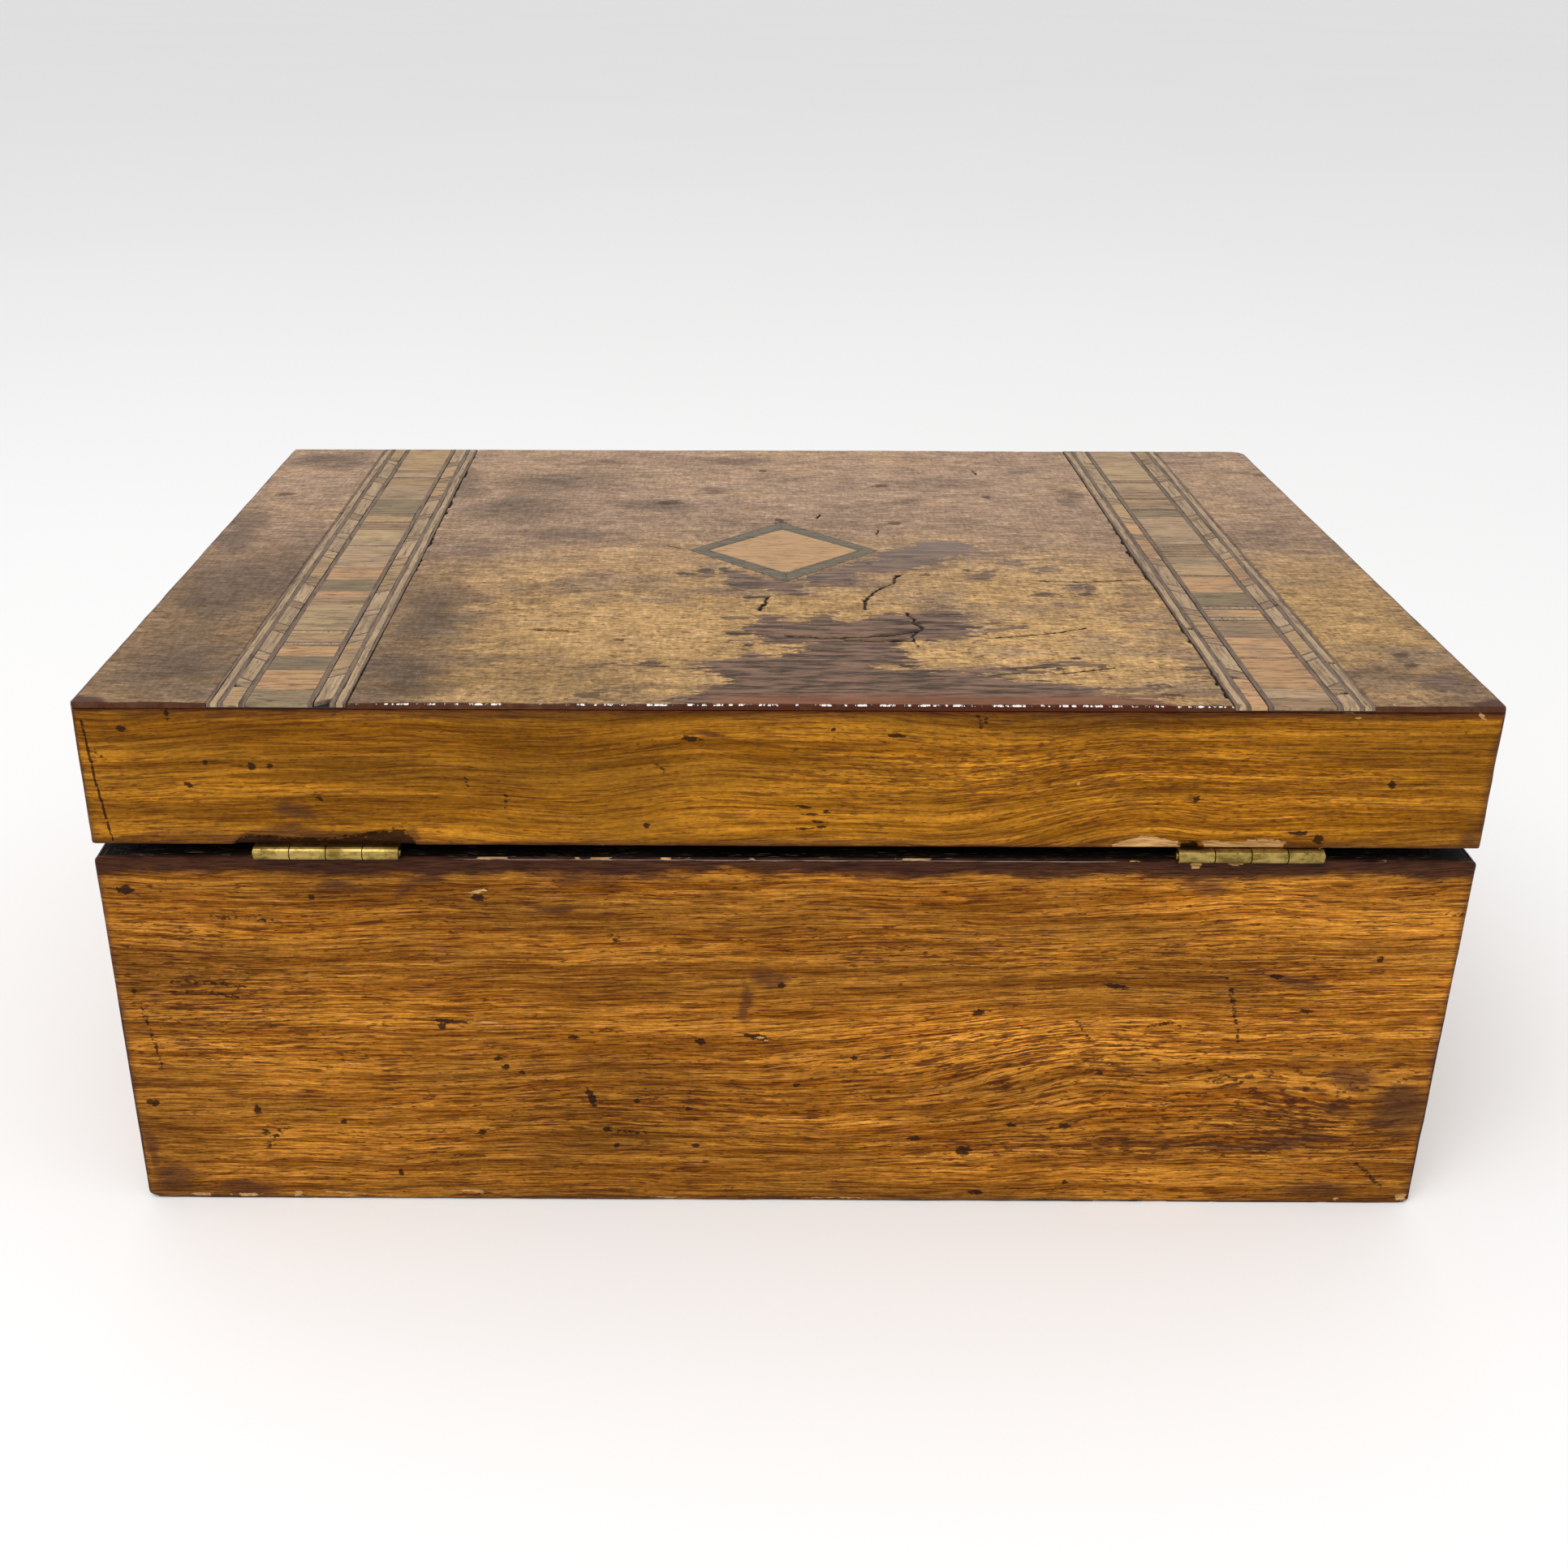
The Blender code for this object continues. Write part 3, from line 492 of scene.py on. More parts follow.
def varnished_walnut(name, order, seed, light, middle, dark, lively, rims):
    """Walnut veneer under old varnish, with stains, dark marks and bare torn places. lively is how
    strongly its fine grain shows, and rims are the two colours of its dark edges."""
    s = Shade(name, order, seed)
    along, across, into = s.node("ShaderNodeSeparateXYZ", [s.place]).outputs
    level = s.math("SUBTRACT", across, s.field("rise"))
    bent = s.times_plus(s.noise((70, 24, 60), 1), 6.0, level)
    bent = s.times_plus(s.noise((20, 6, 20), 2), 1.3, bent)
    grain = s.joined(along, bent, into)
    band = s.noise((90, 2.6, 40), 4, 0.62, grain)
    streak = s.noise((20, 0.6, 12), 4, 0.7, grain)
    hair = s.noise((6, 0.38, 6), 3, 0.65, grain)
    pores = s.noise((9, 0.45, 8), 2, 0.5, grain)
    dashes = s.noise((2.6, 0.5, 4), 2, 0.6, grain)
    clouds = s.noise((80, 10, 30), 3, 0.55)
    mottle = s.noise((1.3, 0.8, 1), 3, 0.65)
    ragged = s.centred(s.noise((6, 0.9, 6), 4, 0.7), 1.6)
    grit = s.centred(s.noise((1.1, 0.7, 1), 2, 0.6), 1.6)
    s.colour = s.blend(s.step(band, 0.38, 0.62), middle, light)
    s.paint((1.1 * light[0], 1.14 * light[1], 1.5 * light[2]), s.step(streak, 0.52, 0.64), 0.75 * lively)
    s.paint(dark, s.step(streak, 0.49, 0.37), 0.9 * lively)
    s.vary(hair, 1 - 0.38 * lively, 1 + 0.34 * lively, 0.32, 0.68)
    s.vary(mottle, 0.84, 1.16)
    s.vary(band, 0.86, 1.12, 0.34, 0.66)
    s.vary(clouds, 0.68, 1.3)
    s.value_change(s.field("shade"), 0.36, 1.64)
    crowd = s.times_plus(s.field("pores"), 0.14, s.strength(clouds, 0.12))
    long_pores = s.step(s.add(pores, crowd), 0.62, 0.68)
    short_pores = s.step(s.add(dashes, crowd), 0.67, 0.74)
    s.paint((66, 27, 10), long_pores, 0.3 + 0.5 * lively)
    s.paint((58, 24, 10), short_pores, 0.35 + 0.45 * lively)
    stain = s.broken("stain", s.strength(ragged, 0.9), 0.05, 1.1)
    s.paint((156, 146, 176), stain, 0.7, "MULTIPLY")
    s.paint((84, 54, 40), stain, 0.3)
    uneven = s.step(hair, 0.3, 0.7)
    s.paint(s.blend(uneven, *rims), s.broken("rim", s.strength(ragged, 0.9), 0.15, 0.95), 0.92)
    # Painted highlight: a pale line along the body's top edge, where its arris catches the light
    s.paint((150, 138, 126), s.broken("glint", s.strength(ragged, 0.8), 0.5, 0.9), 0.6)
    # Dark marks, and on the lid's back also the painted shade of the hollows over the hinges
    s.paint((30, 14, 9), s.broken("mark", s.add(s.strength(ragged, 0.3), grit), 0.0, 0.3), 0.88)
    torn = s.add(s.strength(ragged, 1.2), s.strength(grit, 0.8))
    fresh = s.blend(uneven, (150, 104, 58), (222, 178, 118))
    s.paint(fresh, s.broken("bare", torn, 0.1, 0.3), 0.9)
    height = s.math("SUBTRACT", s.strength(hair, 0.4), s.strength(long_pores, 0.5))
    return s.done(s.times_plus(clouds, 0.25, 0.24), height, 0.05, specular=0.05)


def faded_walnut(name, seed):
    """The lid's top: walnut veneer bleached by the sun, its varnish gone but for a few patches."""
    s = Shade(name, "xyz", seed)
    clouds = s.noise((46, 24, 30), 3, 0.6)
    small = s.noise((11, 6, 10), 4, 0.7)
    fibre = s.noise((6, 1.1, 6), 4, 0.7)
    fleck = s.noise((2.0, 1.0, 2), 3, 0.65)
    weave = s.noise((0.9, 5, 2), 2, 0.6)
    wavy = s.centred(small, 1.4)
    veil = s.field("veil")
    s.colour = s.blend(s.broken("bare", wavy, -0.3, 0.5), (142, 113, 83), (178, 141, 92))
    s.paint((172, 142, 118), veil, 0.85)
    s.paint((134, 112, 94), s.step(clouds, 0.52, 0.66), 0.6)
    s.paint((190, 154, 112), s.step(clouds, 0.48, 0.34), 0.4)
    s.paint((112, 93, 78), s.broken("grey", wavy, 0.0, 0.8), 0.75)
    s.value_change(s.field("shade"), 0.4, 1.6)
    s.vary(small, 0.8, 1.16)
    s.vary(fibre, 0.72, 1.22)
    s.vary(fleck, 0.78, 1.18)
    s.vary(weave, 0.84, 1.11)
    s.vary(s.noise((1.1, 0.8, 1), 2, 0.6), 0.84, 1.15)
    pits = s.step(s.noise((2.4, 1.1, 2), 2, 0.6), 0.58, 0.66)
    s.paint((92, 64, 40), s.math("MULTIPLY", pits, s.times_plus(veil, -0.8, 0.95)), 0.75)
    ragged = s.centred(s.noise((6.5, 1.5, 6), 4, 0.7), 4.4)
    left = s.broken("residue", ragged, 0.0, 0.08)
    combed = s.noise((13, 1.8, 6), 4, 0.75)
    old = s.blend(s.step(combed, 0.38, 0.62), (38, 23, 16), (128, 96, 76))
    old = s.blend(s.strength(s.field("ember"), 0.75), old, (122, 68, 36))
    old = s.blend(s.strength(veil, 0.95), old, (132, 114, 102))
    s.paint(old, left, 0.95)
    grit = s.centred(s.noise((1.4, 1.0, 1), 3, 0.65), 1.8)
    s.paint((66, 50, 42), s.broken("mark", s.add(s.strength(ragged, 0.1), grit), -0.1, 0.4), 0.75)
    s.paint((22, 14, 11), s.broken("crack", s.strength(grit, 0.4), 0.62, 0.2))
    edge = s.broken("rim", s.strength(ragged, 0.25), 0.25, 0.75)
    s.paint((62, 25, 10), edge, 0.9)
    # Painted highlights: near-white flecks along the back edge's broken arris, where it catches the light
    arris = s.step(s.field("glint"), 0.05, 0.4)
    chips = s.times_plus(arris, 0.2, s.noise((1.4, 4, 4), 4, 0.75))
    s.paint((242, 234, 228), s.step(chips, 0.73, 0.76), 0.95)
    rough = s.times_plus(s.math("MAXIMUM", left, edge), -0.2, 0.6)
    height = s.add(s.strength(fibre, 0.5), s.add(s.strength(fleck, 0.5), left))
    return s.done(rough, height, 0.09, specular=0.09)


def inlay_wood(name, base, dark, seed, order="xyz", grey=0.25):
    """A thin strip of inlay, dulled with the rest of the top. tone varies it from strip to strip."""
    s = Shade(name, order, seed)
    fibre = s.noise((11, 0.9, 4), 4, 0.75)
    fleck = s.noise((4.6, 0.7, 2), 2, 0.6)
    clouds = s.noise((13, 8, 10), 3, 0.6)
    s.colour = s.blend(s.step(fibre, 0.36, 0.58), dark, base)
    s.paint((118, 102, 86), s.step(clouds, 0.48, 0.68), grey * 2)
    s.value_change(s.field("tone"), 0.86, 1.12)
    s.paint((84, 70, 58), s.step(fibre, 0.5, 1.1), 0.8)
    s.paint(scaled_colour(dark, 0.6), s.step(fleck, 0.58, 0.68), 0.7)
    s.paint(scaled_colour(dark, 0.7), s.step(fibre, 0.4, 0.3), 0.6)
    return s.done(s.times_plus(clouds, 0.2, 0.45), fibre, 0.05, specular=0.14)


def carcass_wood(name, order, seed, base=(150, 112, 70), dark=(104, 72, 40)):
    """Plain secondary wood, browned with age."""
    s = Shade(name, order, seed)
    rings = s.noise((60, 3.2, 30), 3, 0.6)
    fibre = s.noise((14, 0.5, 8), 3, 0.6)
    clouds = s.noise((30, 22, 20), 3, 0.6)
    s.colour = s.blend(s.step(rings, 0.3, 0.7), dark, base)
    s.vary(fibre, 0.82, 1.12)
    s.paint((62, 44, 30), s.step(clouds, 0.5, 0.72), 0.5)
    return s.done(s.times_plus(clouds, 0.2, 0.55), fibre, 0.06)


def aged_brass(name, seed):
    """Brass gone olive, brighter where it rubs, with brown tarnish in the hollows."""
    s = Shade(name, "xyz", seed)
    clouds = s.noise((5, 3, 3), 4, 0.65)
    scratches = s.noise((9, 0.25, 0.25), 2, 0.6)
    specks = s.noise((0.9, 0.9, 0.9), 2, 0.5)
    s.colour = s.blend(s.step(clouds, 0.35, 0.66), (112, 92, 42), (186, 160, 92))
    s.vary(scratches, 0.86, 1.1)
    s.paint((62, 46, 22), s.step(specks, 0.62, 0.74), 0.7)
    return s.done(s.times_plus(clouds, -0.2, 0.46), s.add(scratches, clouds), 0.02, metallic=1.0)


def dull_steel(name, seed):
    """Greyed steel with small rusty places."""
    s = Shade(name, "xyz", seed)
    clouds = s.noise((6, 4, 4), 4, 0.65)
    rust = s.noise((2.2, 1.6, 1.6), 3, 0.6)
    s.colour = s.blend(s.step(clouds, 0.35, 0.65), (92, 88, 84), (140, 136, 130))
    s.paint((84, 50, 30), s.step(rust, 0.56, 0.7), 0.75)
    return s.done(s.times_plus(rust, 0.4, 0.22), clouds, 0.02, metallic=1.0)


def lining_paper(name, seed):
    """Dull blue-green lining paper, rubbed and foxed."""
    s = Shade(name, "xyz", seed)
    pulp = s.noise((0.7, 0.7, 0.7), 3, 0.6)
    clouds = s.noise((30, 30, 30), 4, 0.6)
    foxing = s.noise((3.2, 3.2, 3.2), 2, 0.5)
    s.colour = s.blend(s.step(clouds, 0.35, 0.65), (92, 108, 104), (122, 134, 122))
    s.vary(pulp, 0.92, 1.06)
    s.paint((120, 92, 60), s.step(foxing, 0.66, 0.76), 0.6)
    s.paint((66, 60, 50), s.step(clouds, 0.6, 0.76), 0.5)
    return s.done(0.9, pulp, 0.04)


def shaded_rim_wood(name, order, seed):
    """The rim's facing: dark wood painted nearly black, as painted shade in the gap under the lid, with
    pale broken flecks.
    """
    s = Shade(name, order, seed)
    fibre = s.noise((10, 0.5, 4), 3, 0.6)
    flecks = s.noise((6, 0.35, 0.8), 3, 0.65)
    clouds = s.noise((24, 5, 10), 3, 0.6)
    # Nearly black base: painted shade for the gap under the lid
    s.colour = s.blend(s.step(clouds, 0.35, 0.7), (10, 8, 7), (30, 23, 18))
    s.vary(fibre, 0.7, 1.2)
    s.paint((150, 132, 106), s.step(flecks, 0.6, 0.69), 0.7)
    return s.done(0.6, s.add(fibre, flecks), 0.08, specular=0.1)


def studio_floor(name):
    """Nearly white paper."""
    s = Shade(name, "xyz", 900)
    s.colour = s.blend(s.noise((400, 400, 400), 2, 0.5), (247, 247, 246), (250, 250, 250))
    return s.done(0.85)


# ---- Lid top ----

DIAMOND_BOX = node_box("diamond_border")
DIAMOND_X, DIAMOND_Y, _ = (DIAMOND_BOX[0] + DIAMOND_BOX[1]) / 2
DIAMOND_HALF_X, DIAMOND_HALF_Y, _ = (DIAMOND_BOX[1] - DIAMOND_BOX[0]) / 2
DIAMOND_RECESS = 0.95     # depth of the pocket that it lies in
DIAMOND_EDGE = 2          # how far the pocket stays inside its outline
TOP_STEP = 1.2            # spacing of the grid lines of the top
FINE_STEP = 0.62          # and round its patches of varnish

RESIDUE = [               # outlines of the patches of old varnish
    [(6, 51), (1, 51.5), (-1, 55), (-5, 56), (-8, 53), (-11, 48), (-13, 48.5), (-15, 52), (-17, 56),
     (-21, 53), (-27, 49.5), (-31, 51), (-36, 47), (-40, 44), (-42, 48), (-46, 50), (-44, 55),
     (-46, 60), (-45, 65), (-42, 69), (-36, 70), (-31, 68.5), (-26, 71), (-28, 78), (-30, 83),
     (-29.5, 88), (-36, 88.5), (-43, 90), (-46, 94), (-54, 95), (-62, 96), (-68, 99), (-69, 103),
     (-80, 105), (-84, 111), (26, 111), (22, 105), (17, 100), (13, 96), (14, 91), (20, 88), (19, 84),
     (12, 82), (8, 79), (1, 80), (-2, 77), (-5, 71), (-1, 73), (4, 72), (8, 73), (6, 67), (9, 62),
     (7, 56)],
    [(-14, 15), (-20, 11), (-24, 7), (-27, 2), (-30, -1), (-36, -4), (-41, -8), (-47, -10),
     (-52, -9), (-53, -3), (-51, 3), (-45, 8), (-41, 12), (-35, 17), (-28, 18), (-21, 19), (-19, 26),
     (-17, 29), (-10, 30), (-6, 26), (-5, 22)],
    [(15, 13), (13.5, 20), (13, 27), (10, 33), (4, 31), (1, 34), (-2, 38), (-6, 37), (-4, 30),
     (-3, 26), (3, 24), (9, 18)],
    [(-54, -1), (-59, -1), (-61, 3), (-57, 5)], [(-59, 9), (-65, 7), (-66, 11), (-61, 12)],
    [(-48, 22), (-52, 17), (-56, 16), (-55, 22), (-51, 24)], [(-66, 14), (-72, 12), (-72, 17), (-67, 18)],
    [(-73, 33), (-75, 27), (-78, 28), (-78, 35), (-75, 36)], [(-64, 34), (-68, 35), (-67, 38), (-64, 37)],
    [(-49, 55), (-54, 55), (-53, 58), (-49, 58)], [(-90, 88), (-93, 84), (-94, 95), (-90, 94)],
    [(31, 82), (28, 83), (29, 89), (31, 88)], [(-140, 92), (-147, 90), (-148, 98), (-142, 100)],
]
STRANDS = [
    (1.1, [(-36, 88.7), (-48, 88.3), (-56, 86.5), (-62, 84), (-71, 85)]),
    (0.9, [(-60, 87), (-64, 83), (-66, 80)]), (0.9, [(-45, 92), (-53, 90), (-60, 88.5)]),
    (0.9, [(-46, 64), (-50, 62.5), (-57, 59.5)]), (1.0, [(-68, 98.5), (-76, 99.5), (-83, 97.5)]),
    (0.9, [(-68, 103), (-78, 103.5), (-84, 102)]), (0.8, [(44, 86), (38, 85), (32, 87.5), (26, 87)]),
    (1.0, [(25, 18), (23.5, 21.5), (18, 21.5), (17.5, 17)]), (0.8, [(12, 69.5), (7, 70)]),
    (0.9, [(14, 64), (8, 64.5)]), (0.8, [(8, 38.5), (2, 38)]), (0.8, [(13, 54), (8, 53)]),
]
# Spots: x, y, half length, half width, then a turn in degrees if any
WORN_THROUGH = [(-24, 86.8, 4.4, 1.5, -5), (-16, 53, 4, 3, -30), (-52, 92.5, 6, 1.0, -10)]
TOP_SHADE = [             # x, y, half length, half width, strength
    (-60, 70, 34, 28, 0.2), (25, 68, 22, 22, 0.1), (58, 92, 28, 14, -0.26), (84, 60, 8, 44, -0.2),
    (86, 100, 14, 10, -0.12), (141, 92, 18, 16, -0.14), (138, 45, 18, 40, -0.14),
    (128, -30, 30, 40, -0.04), (70, -60, 26, 18, -0.1), (-20, -70, 70, 34, 0.03),
    (-138, 92, 14, 16, -0.12), (22, 34, 20, 12, -0.03), (-45, 38, 30, 14, 0.06),
    (-138, -10, 14, 60, -0.1), (-75, -20, 40, 20, 0.04),
]
GREY = [                  # soft dark clouds
    (86, 62, 7, 12), (84, 97, 12, 9), (62, -70, 22, 18), (74, -38, 24, 20), (54, -14, 26, 9, -8),
    (84, 52, 13, 26), (88, 88, 15, 16), (95, -70, 12, 30), (34, -44, 14, 7), (-42, -50, 6, 6),
    (-33, -26, 5, 4), (-88, -52, 7, 22), (138, 40, 16, 40), (135, 88, 24, 20), (120, 24, 26, 40),
    (148, -20, 8, 40), (104, 40, 14, 44), (138, -94, 20, 14), (-144, 96, 10, 14), (-146, -82, 5, 5),
    (52, -92, 12, 6), (14, -96, 20, 6), (-128, 92, 12, 12), (112, 104, 44, 8), (-110, -42, 8, 8),
    (20, -60, 10, 6),
]
BARE = [                  # warm wood with nothing left on it
    (-20, 66, 80, 50), (34, 64, 44, 46), (-62, 80, 40, 36), (-135, 40, 22, 60), (-112, 70, 20, 50),
    (20, -78, 56, 9), (44, 16, 40, 20), (-70, 24, 30, 22), (60, 96, 20, 14), (-45, 30, 30, 18),
]
MARKS = [                 # small dark spots
    (143, -55, 3.4, 2.2), (-33, -66, 3, 2.2), (29, -47, 4.4, 2.4), (-34, 6, 1.8, 0.7),
    (-49, 16, 1.4, 1.1), (-66, 35, 3, 1.2), (22, 20, 4.5, 1.2), (18, 17, 2.2, 2.2), (-64, -54, 2, 1.8),
    (30, 85, 3.4, 1.6), (38, 69, 2, 1.2), (42, 104, 4.2, 2), (2, -83, 2, 1.6), (-78, 30, 2, 3.4),
    (-140, 78, 2.4, 2), (-141, 84, 2, 1.6), (-122, -67, 1.8, 3), (-24, 11, 1.3, 1.2), (-38, 20, 1.6, 1.4),
    (-2, -30, 1.4, 2, 30), (14, 17, 1.6, 2.4), (122, -3, 1, 1.2), (98.5, 18, 1.7, 1.2),
    (-34, -27, 2.4, 2),
]
CRACKS = [
    [(-31, 20), (-29.5, 26), (-25, 32), (-22, 38), (-20.5, 47)],
    [(-31, 49), (-31.5, 55), (-33.5, 60), (-30.5, 66), (-31, 73)],
    [(-33, 62), (-25, 66), (-12, 67.5), (-1, 66.5)], [(2.6, 37), (3.4, 42), (5.4, 48)],
    [(28.6, -5.4), (25, -2.2), (20.5, -1.3)], [(-13.5, -36), (-12.5, -32)],
    [(-64, 24), (-76, 25), (-92, 23)], [(-62.5, -86), (-63, -80)], [(-29, -21), (-28, -16)],
    [(-48, 67), (-62, 64), (-72, 60)], [(93.9, -104), (94.0, -52), (93.4, -30), (93.7, 2)],
    [(93.4, 8), (93.6, 22)], [(-95.0, -30), (-94.6, 0), (-95.1, 30)], [(-95, 44), (-95, 104)],
    [(-2, -28.5), (-5, -25.5)], [(0.5, -26.5), (-2, -28.5)], [(-30, 69), (-24, 70), (-14, 69)],
    [(60, 62), (48, 63)], [(-60, 90), (-74, 86)],
]


def top_place(u, v, depth):
    """The point at x = u and y = v that lies so deep below the level top."""
    return np.stack([u, v, LID_TOP - depth], -1)


def top_residue(x, y):
    """How deep each point lies in the old varnish, in units of 3 mm. Worn varnish stays shallow, so
    that the grain's noise breaks through it."""
    x = x + 1.5 * fractal(x / 7, y / 3, 31, 3)
    y = y + 0.8 * fractal(x / 9, y / 4, 35, 3)
    deep = np.maximum.reduce([inside(x, y, outline, 0.5) for outline in RESIDUE]) / 3
    deep = np.maximum(deep, 0.5 * strokes(x, y, STRANDS))
    worn = 1.1 + 0.7 * fractal(x / 12, y / 5, 37, 3)
    return np.minimum(np.minimum(deep, worn), -1.6 * spots(x, y, WORN_THROUGH, 0.6, 39))


def top_cracks(x, y):
    """Distance in mm from each point to the nearest crack."""
    x = x + 1.2 * fractal(x / 3, y / 3, 61, 3)
    return np.minimum.reduce([path_distance(x, y, path) for path in CRACKS])


def top_relief(x, y):
    """Slow waves, patches of varnish a little proud, and open cracks."""
    wave = 0.10 * fractal(x / 38, y / 30, 71, 2) - 0.10
    varnish = 0.07 * smooth(-0.1, 0.15, top_residue(x, y))
    open_crack = 0.5 * smooth(0.75, 0.1, top_cracks(x, y))
    inlaid = (np.abs(x - DIAMOND_X) / (DIAMOND_HALF_X - DIAMOND_EDGE)
              + np.abs(y - DIAMOND_Y) / (DIAMOND_HALF_Y - DIAMOND_EDGE)) < 1
    return wave + varnish - open_crack - DIAMOND_RECESS * inlaid


def top_rim(x, y):
    """Dark varnish along the back edge and into its two corners."""
    back = HALF_DEPTH - y
    side = HALF_WIDTH - np.abs(x)
    reach = 1.0 + 1.4 * (0.5 + 0.5 * fractal(x / 9, y / 9, 81, 3))
    return np.maximum.reduce([smooth(reach, 0, back), smooth(13, 3, np.hypot(side, back * 1.6)),
                              0.7 * smooth(reach, 0, side)])


def top_glint(x, back):
    """The broken arris of the back edge, which catches the light between the bands: where the highlights
    are painted.
    """
    return smooth(0.7, 0.4, back) * smooth(0, 0.05, back) * smooth(112, 70, np.abs(x + 4))


def top_veil(x, y):
    """A greyish bloom over the half of the top that lies away from the hinges."""
    return smooth(45, -55, y + 14 * fractal(x / 50, y / 40, 83, 3))


def top_veneer(wood, ground):
    """The veneer of the top, in three fields beside the bands, and the ground under the bands."""
    shape = Shape()
    fields = {
        "residue": top_residue,
        "grey": lambda x, y: spots(x, y, GREY, 6, 41),
        "bare": lambda x, y: spots(x, y, BARE, 8, 51),
        "mark": lambda x, y: spots(x, y, MARKS, 0.8, 55),
        "crack": lambda x, y: np.minimum(top_cracks(x, y), 5),
        "rim": top_rim,
        "veil": top_veil,
        "shade": lambda x, y: np.clip(0.5 + glow(x, y, TOP_SHADE), 0, 1),
        "ember": lambda x, y: smooth(101, 107, y) * smooth(22, 6, x),
        "glint": lambda x, y: top_glint(x, HALF_DEPTH - y),
    }
    bands = [(node_box(f"band_{side}_{a}")[0][0], node_box(f"band_{side}_{b}")[1][0])
             for side, a, b in (("right", "outer", "inner"), ("left", "inner", "outer"))]
    edges = [-HALF_WIDTH, *(x for band in bands for x in band), HALF_WIDTH]
    vs = lines(-HALF_DEPTH, HALF_DEPTH, TOP_STEP, close=[(-8, 108, FINE_STEP)], bevel=WORN_EDGE)
    for start, end in ((0, 1), (2, 3), (4, 5)):
        low = edges[start] + (SEAM if start else 0)
        high = edges[end] - (SEAM if end < 5 else 0)
        close = [(-72, 30, FINE_STEP)] if start == 2 else ()
        us = lines(low, high, TOP_STEP, close=close, bevel=WORN_EDGE)
        slab(shape, us, vs, top_place, TOP_VENEER, 0, top_relief, fields, bevel=WORN_EDGE)
    for low, high in bands:
        slab(shape, lines(low - SEAM, high + SEAM, 3), lines(-HALF_DEPTH, HALF_DEPTH, 4),
             lambda u, v, depth: top_place(u, v, depth + GROUND_DEPTH), TOP_VENEER - GROUND_DEPTH, 1)
    shape.build("lid_top_veneer", [wood, ground], "lid", LID_CORNERS)


# ---- Inlaid bands ----
# Widths from a band's outer edge to its inner edge, and the middle strip's slices from front to
# back. The woods are numbers in INLAY_WOODS.

LINE, STRING, PEACH, TAN, FAWN, STRAW, OLIVE, BROWN = range(8)
BORDER_LANES = [(0.7, LINE), (1.5, STRING), (1.2, LINE), (3.4, None)]
CORE_LINE = 1.2
WANDER = 0.22             # how far a long strip strays sideways
LEAN = 0.75               # slant of the dark slips between the blocks
SLIP = 0.75               # and their width
JOINT = 0.02              # half the gap between two strips
SLICES = {
    "left": [(26, TAN), (3.5, BROWN), (5, FAWN), ("stripes", 2.4), (7, TAN), (15, FAWN), (14.6, OLIVE),
             ("stripes", 3.2), (5, TAN), ("stripes", 1.6), (6.5, BROWN), (14, STRAW), (0.8, LINE),
             (18.5, FAWN), (9.5, PEACH), (9.4, OLIVE), (4, PEACH), (6, BROWN), (17, STRAW), (1.2, TAN),
             (0.7, LINE), (1.2, STRING), (6, TAN), (0.7, LINE), (1.2, STRING), (0.9, LINE), (6.7, PEACH),
             (8.4, OLIVE), (11.7, PEACH), (8, OLIVE)],
    "right": [(20, FAWN), (15, STRAW), ("stripes", 3.2), (9, FAWN), (7, BROWN), (1.2, LINE), (3.2, TAN),
              (6.5, BROWN), (1.6, LINE), (6, OLIVE), (25, FAWN), ("stripes", 12), (9, STRAW), (5, TAN),
              ("stripes", 2.4), (11, PEACH), (10, OLIVE), (0.9, LINE), (1, STRING), (0.8, LINE),
              (5, PEACH), (0.7, LINE), (1.3, STRING), (0.7, LINE), (11, BROWN), (13, PEACH),
              (0.6, LINE), (18, PEACH), (5, FAWN), (5, BROWN)],
}


def long_strip(shape, place, u0, u1, ends, wood, seed, gaps=0):
    """A line or string along a band, in a few lengths with small gaps where bits are lost."""
    chance = np.random.default_rng(seed)
    low, high = ends

    def wander(v):
        return WANDER * fractal(v / 16, v * 0 + seed, seed, 3)

    while low < high - 1:
        top = min(low + chance.uniform(38, 80), high)
        tone = chance.uniform(0.2, 0.8)
        tile(shape, place, u0, u1, low, top, wood, tone, wander=wander)
        low = top + (chance.uniform(0.3, 1.6) if chance.random() < gaps else 0.05)


def blocks(shape, place, u0, u1, ends, lean, seed):
    """The chequered lane: long pale blocks and short grey ones, parted by slanting dark slips."""
    chance = np.random.default_rng(seed)
    v, pale = ends[0], True
    while v < ends[1] - 1.5:
        length = chance.uniform(11, 17) if pale else chance.uniform(2.5, 5)
        wood = chance.choice([STRING, STRING, TAN, PEACH]) if pale else chance.choice([FAWN, BROWN])
        end = min(v + length, ends[1])
        last = end >= ends[1] - 2
        tile(shape, place, u0, u1, v, ends[1] if last else end, int(wood), chance.uniform(0.1, 0.9),
             0 if last or v == ends[0] else lean)
        if last:
            break
        tile(shape, place, u0, u1, end + 0.05, end + SLIP, LINE, 0.3, lean)
        v, pale = end + SLIP + 0.05, not pale


def border(shape, place, outer, inner, ends, seed):
    """One chequered border, from its outer edge to the core."""
    side = 1 if inner > outer else -1
    u = outer
    for number, (width, wood) in enumerate(BORDER_LANES):
        low, high = sorted((u, u + side * width))
        if wood is None:
            blocks(shape, place, low + JOINT, high - JOINT, ends, side * LEAN, seed + number)
        else:
            gaps = 0.6 if wood == STRING else 0.3
            long_strip(shape, place, low + JOINT, high - JOINT, ends, wood, seed + number, gaps)
        u += side * width


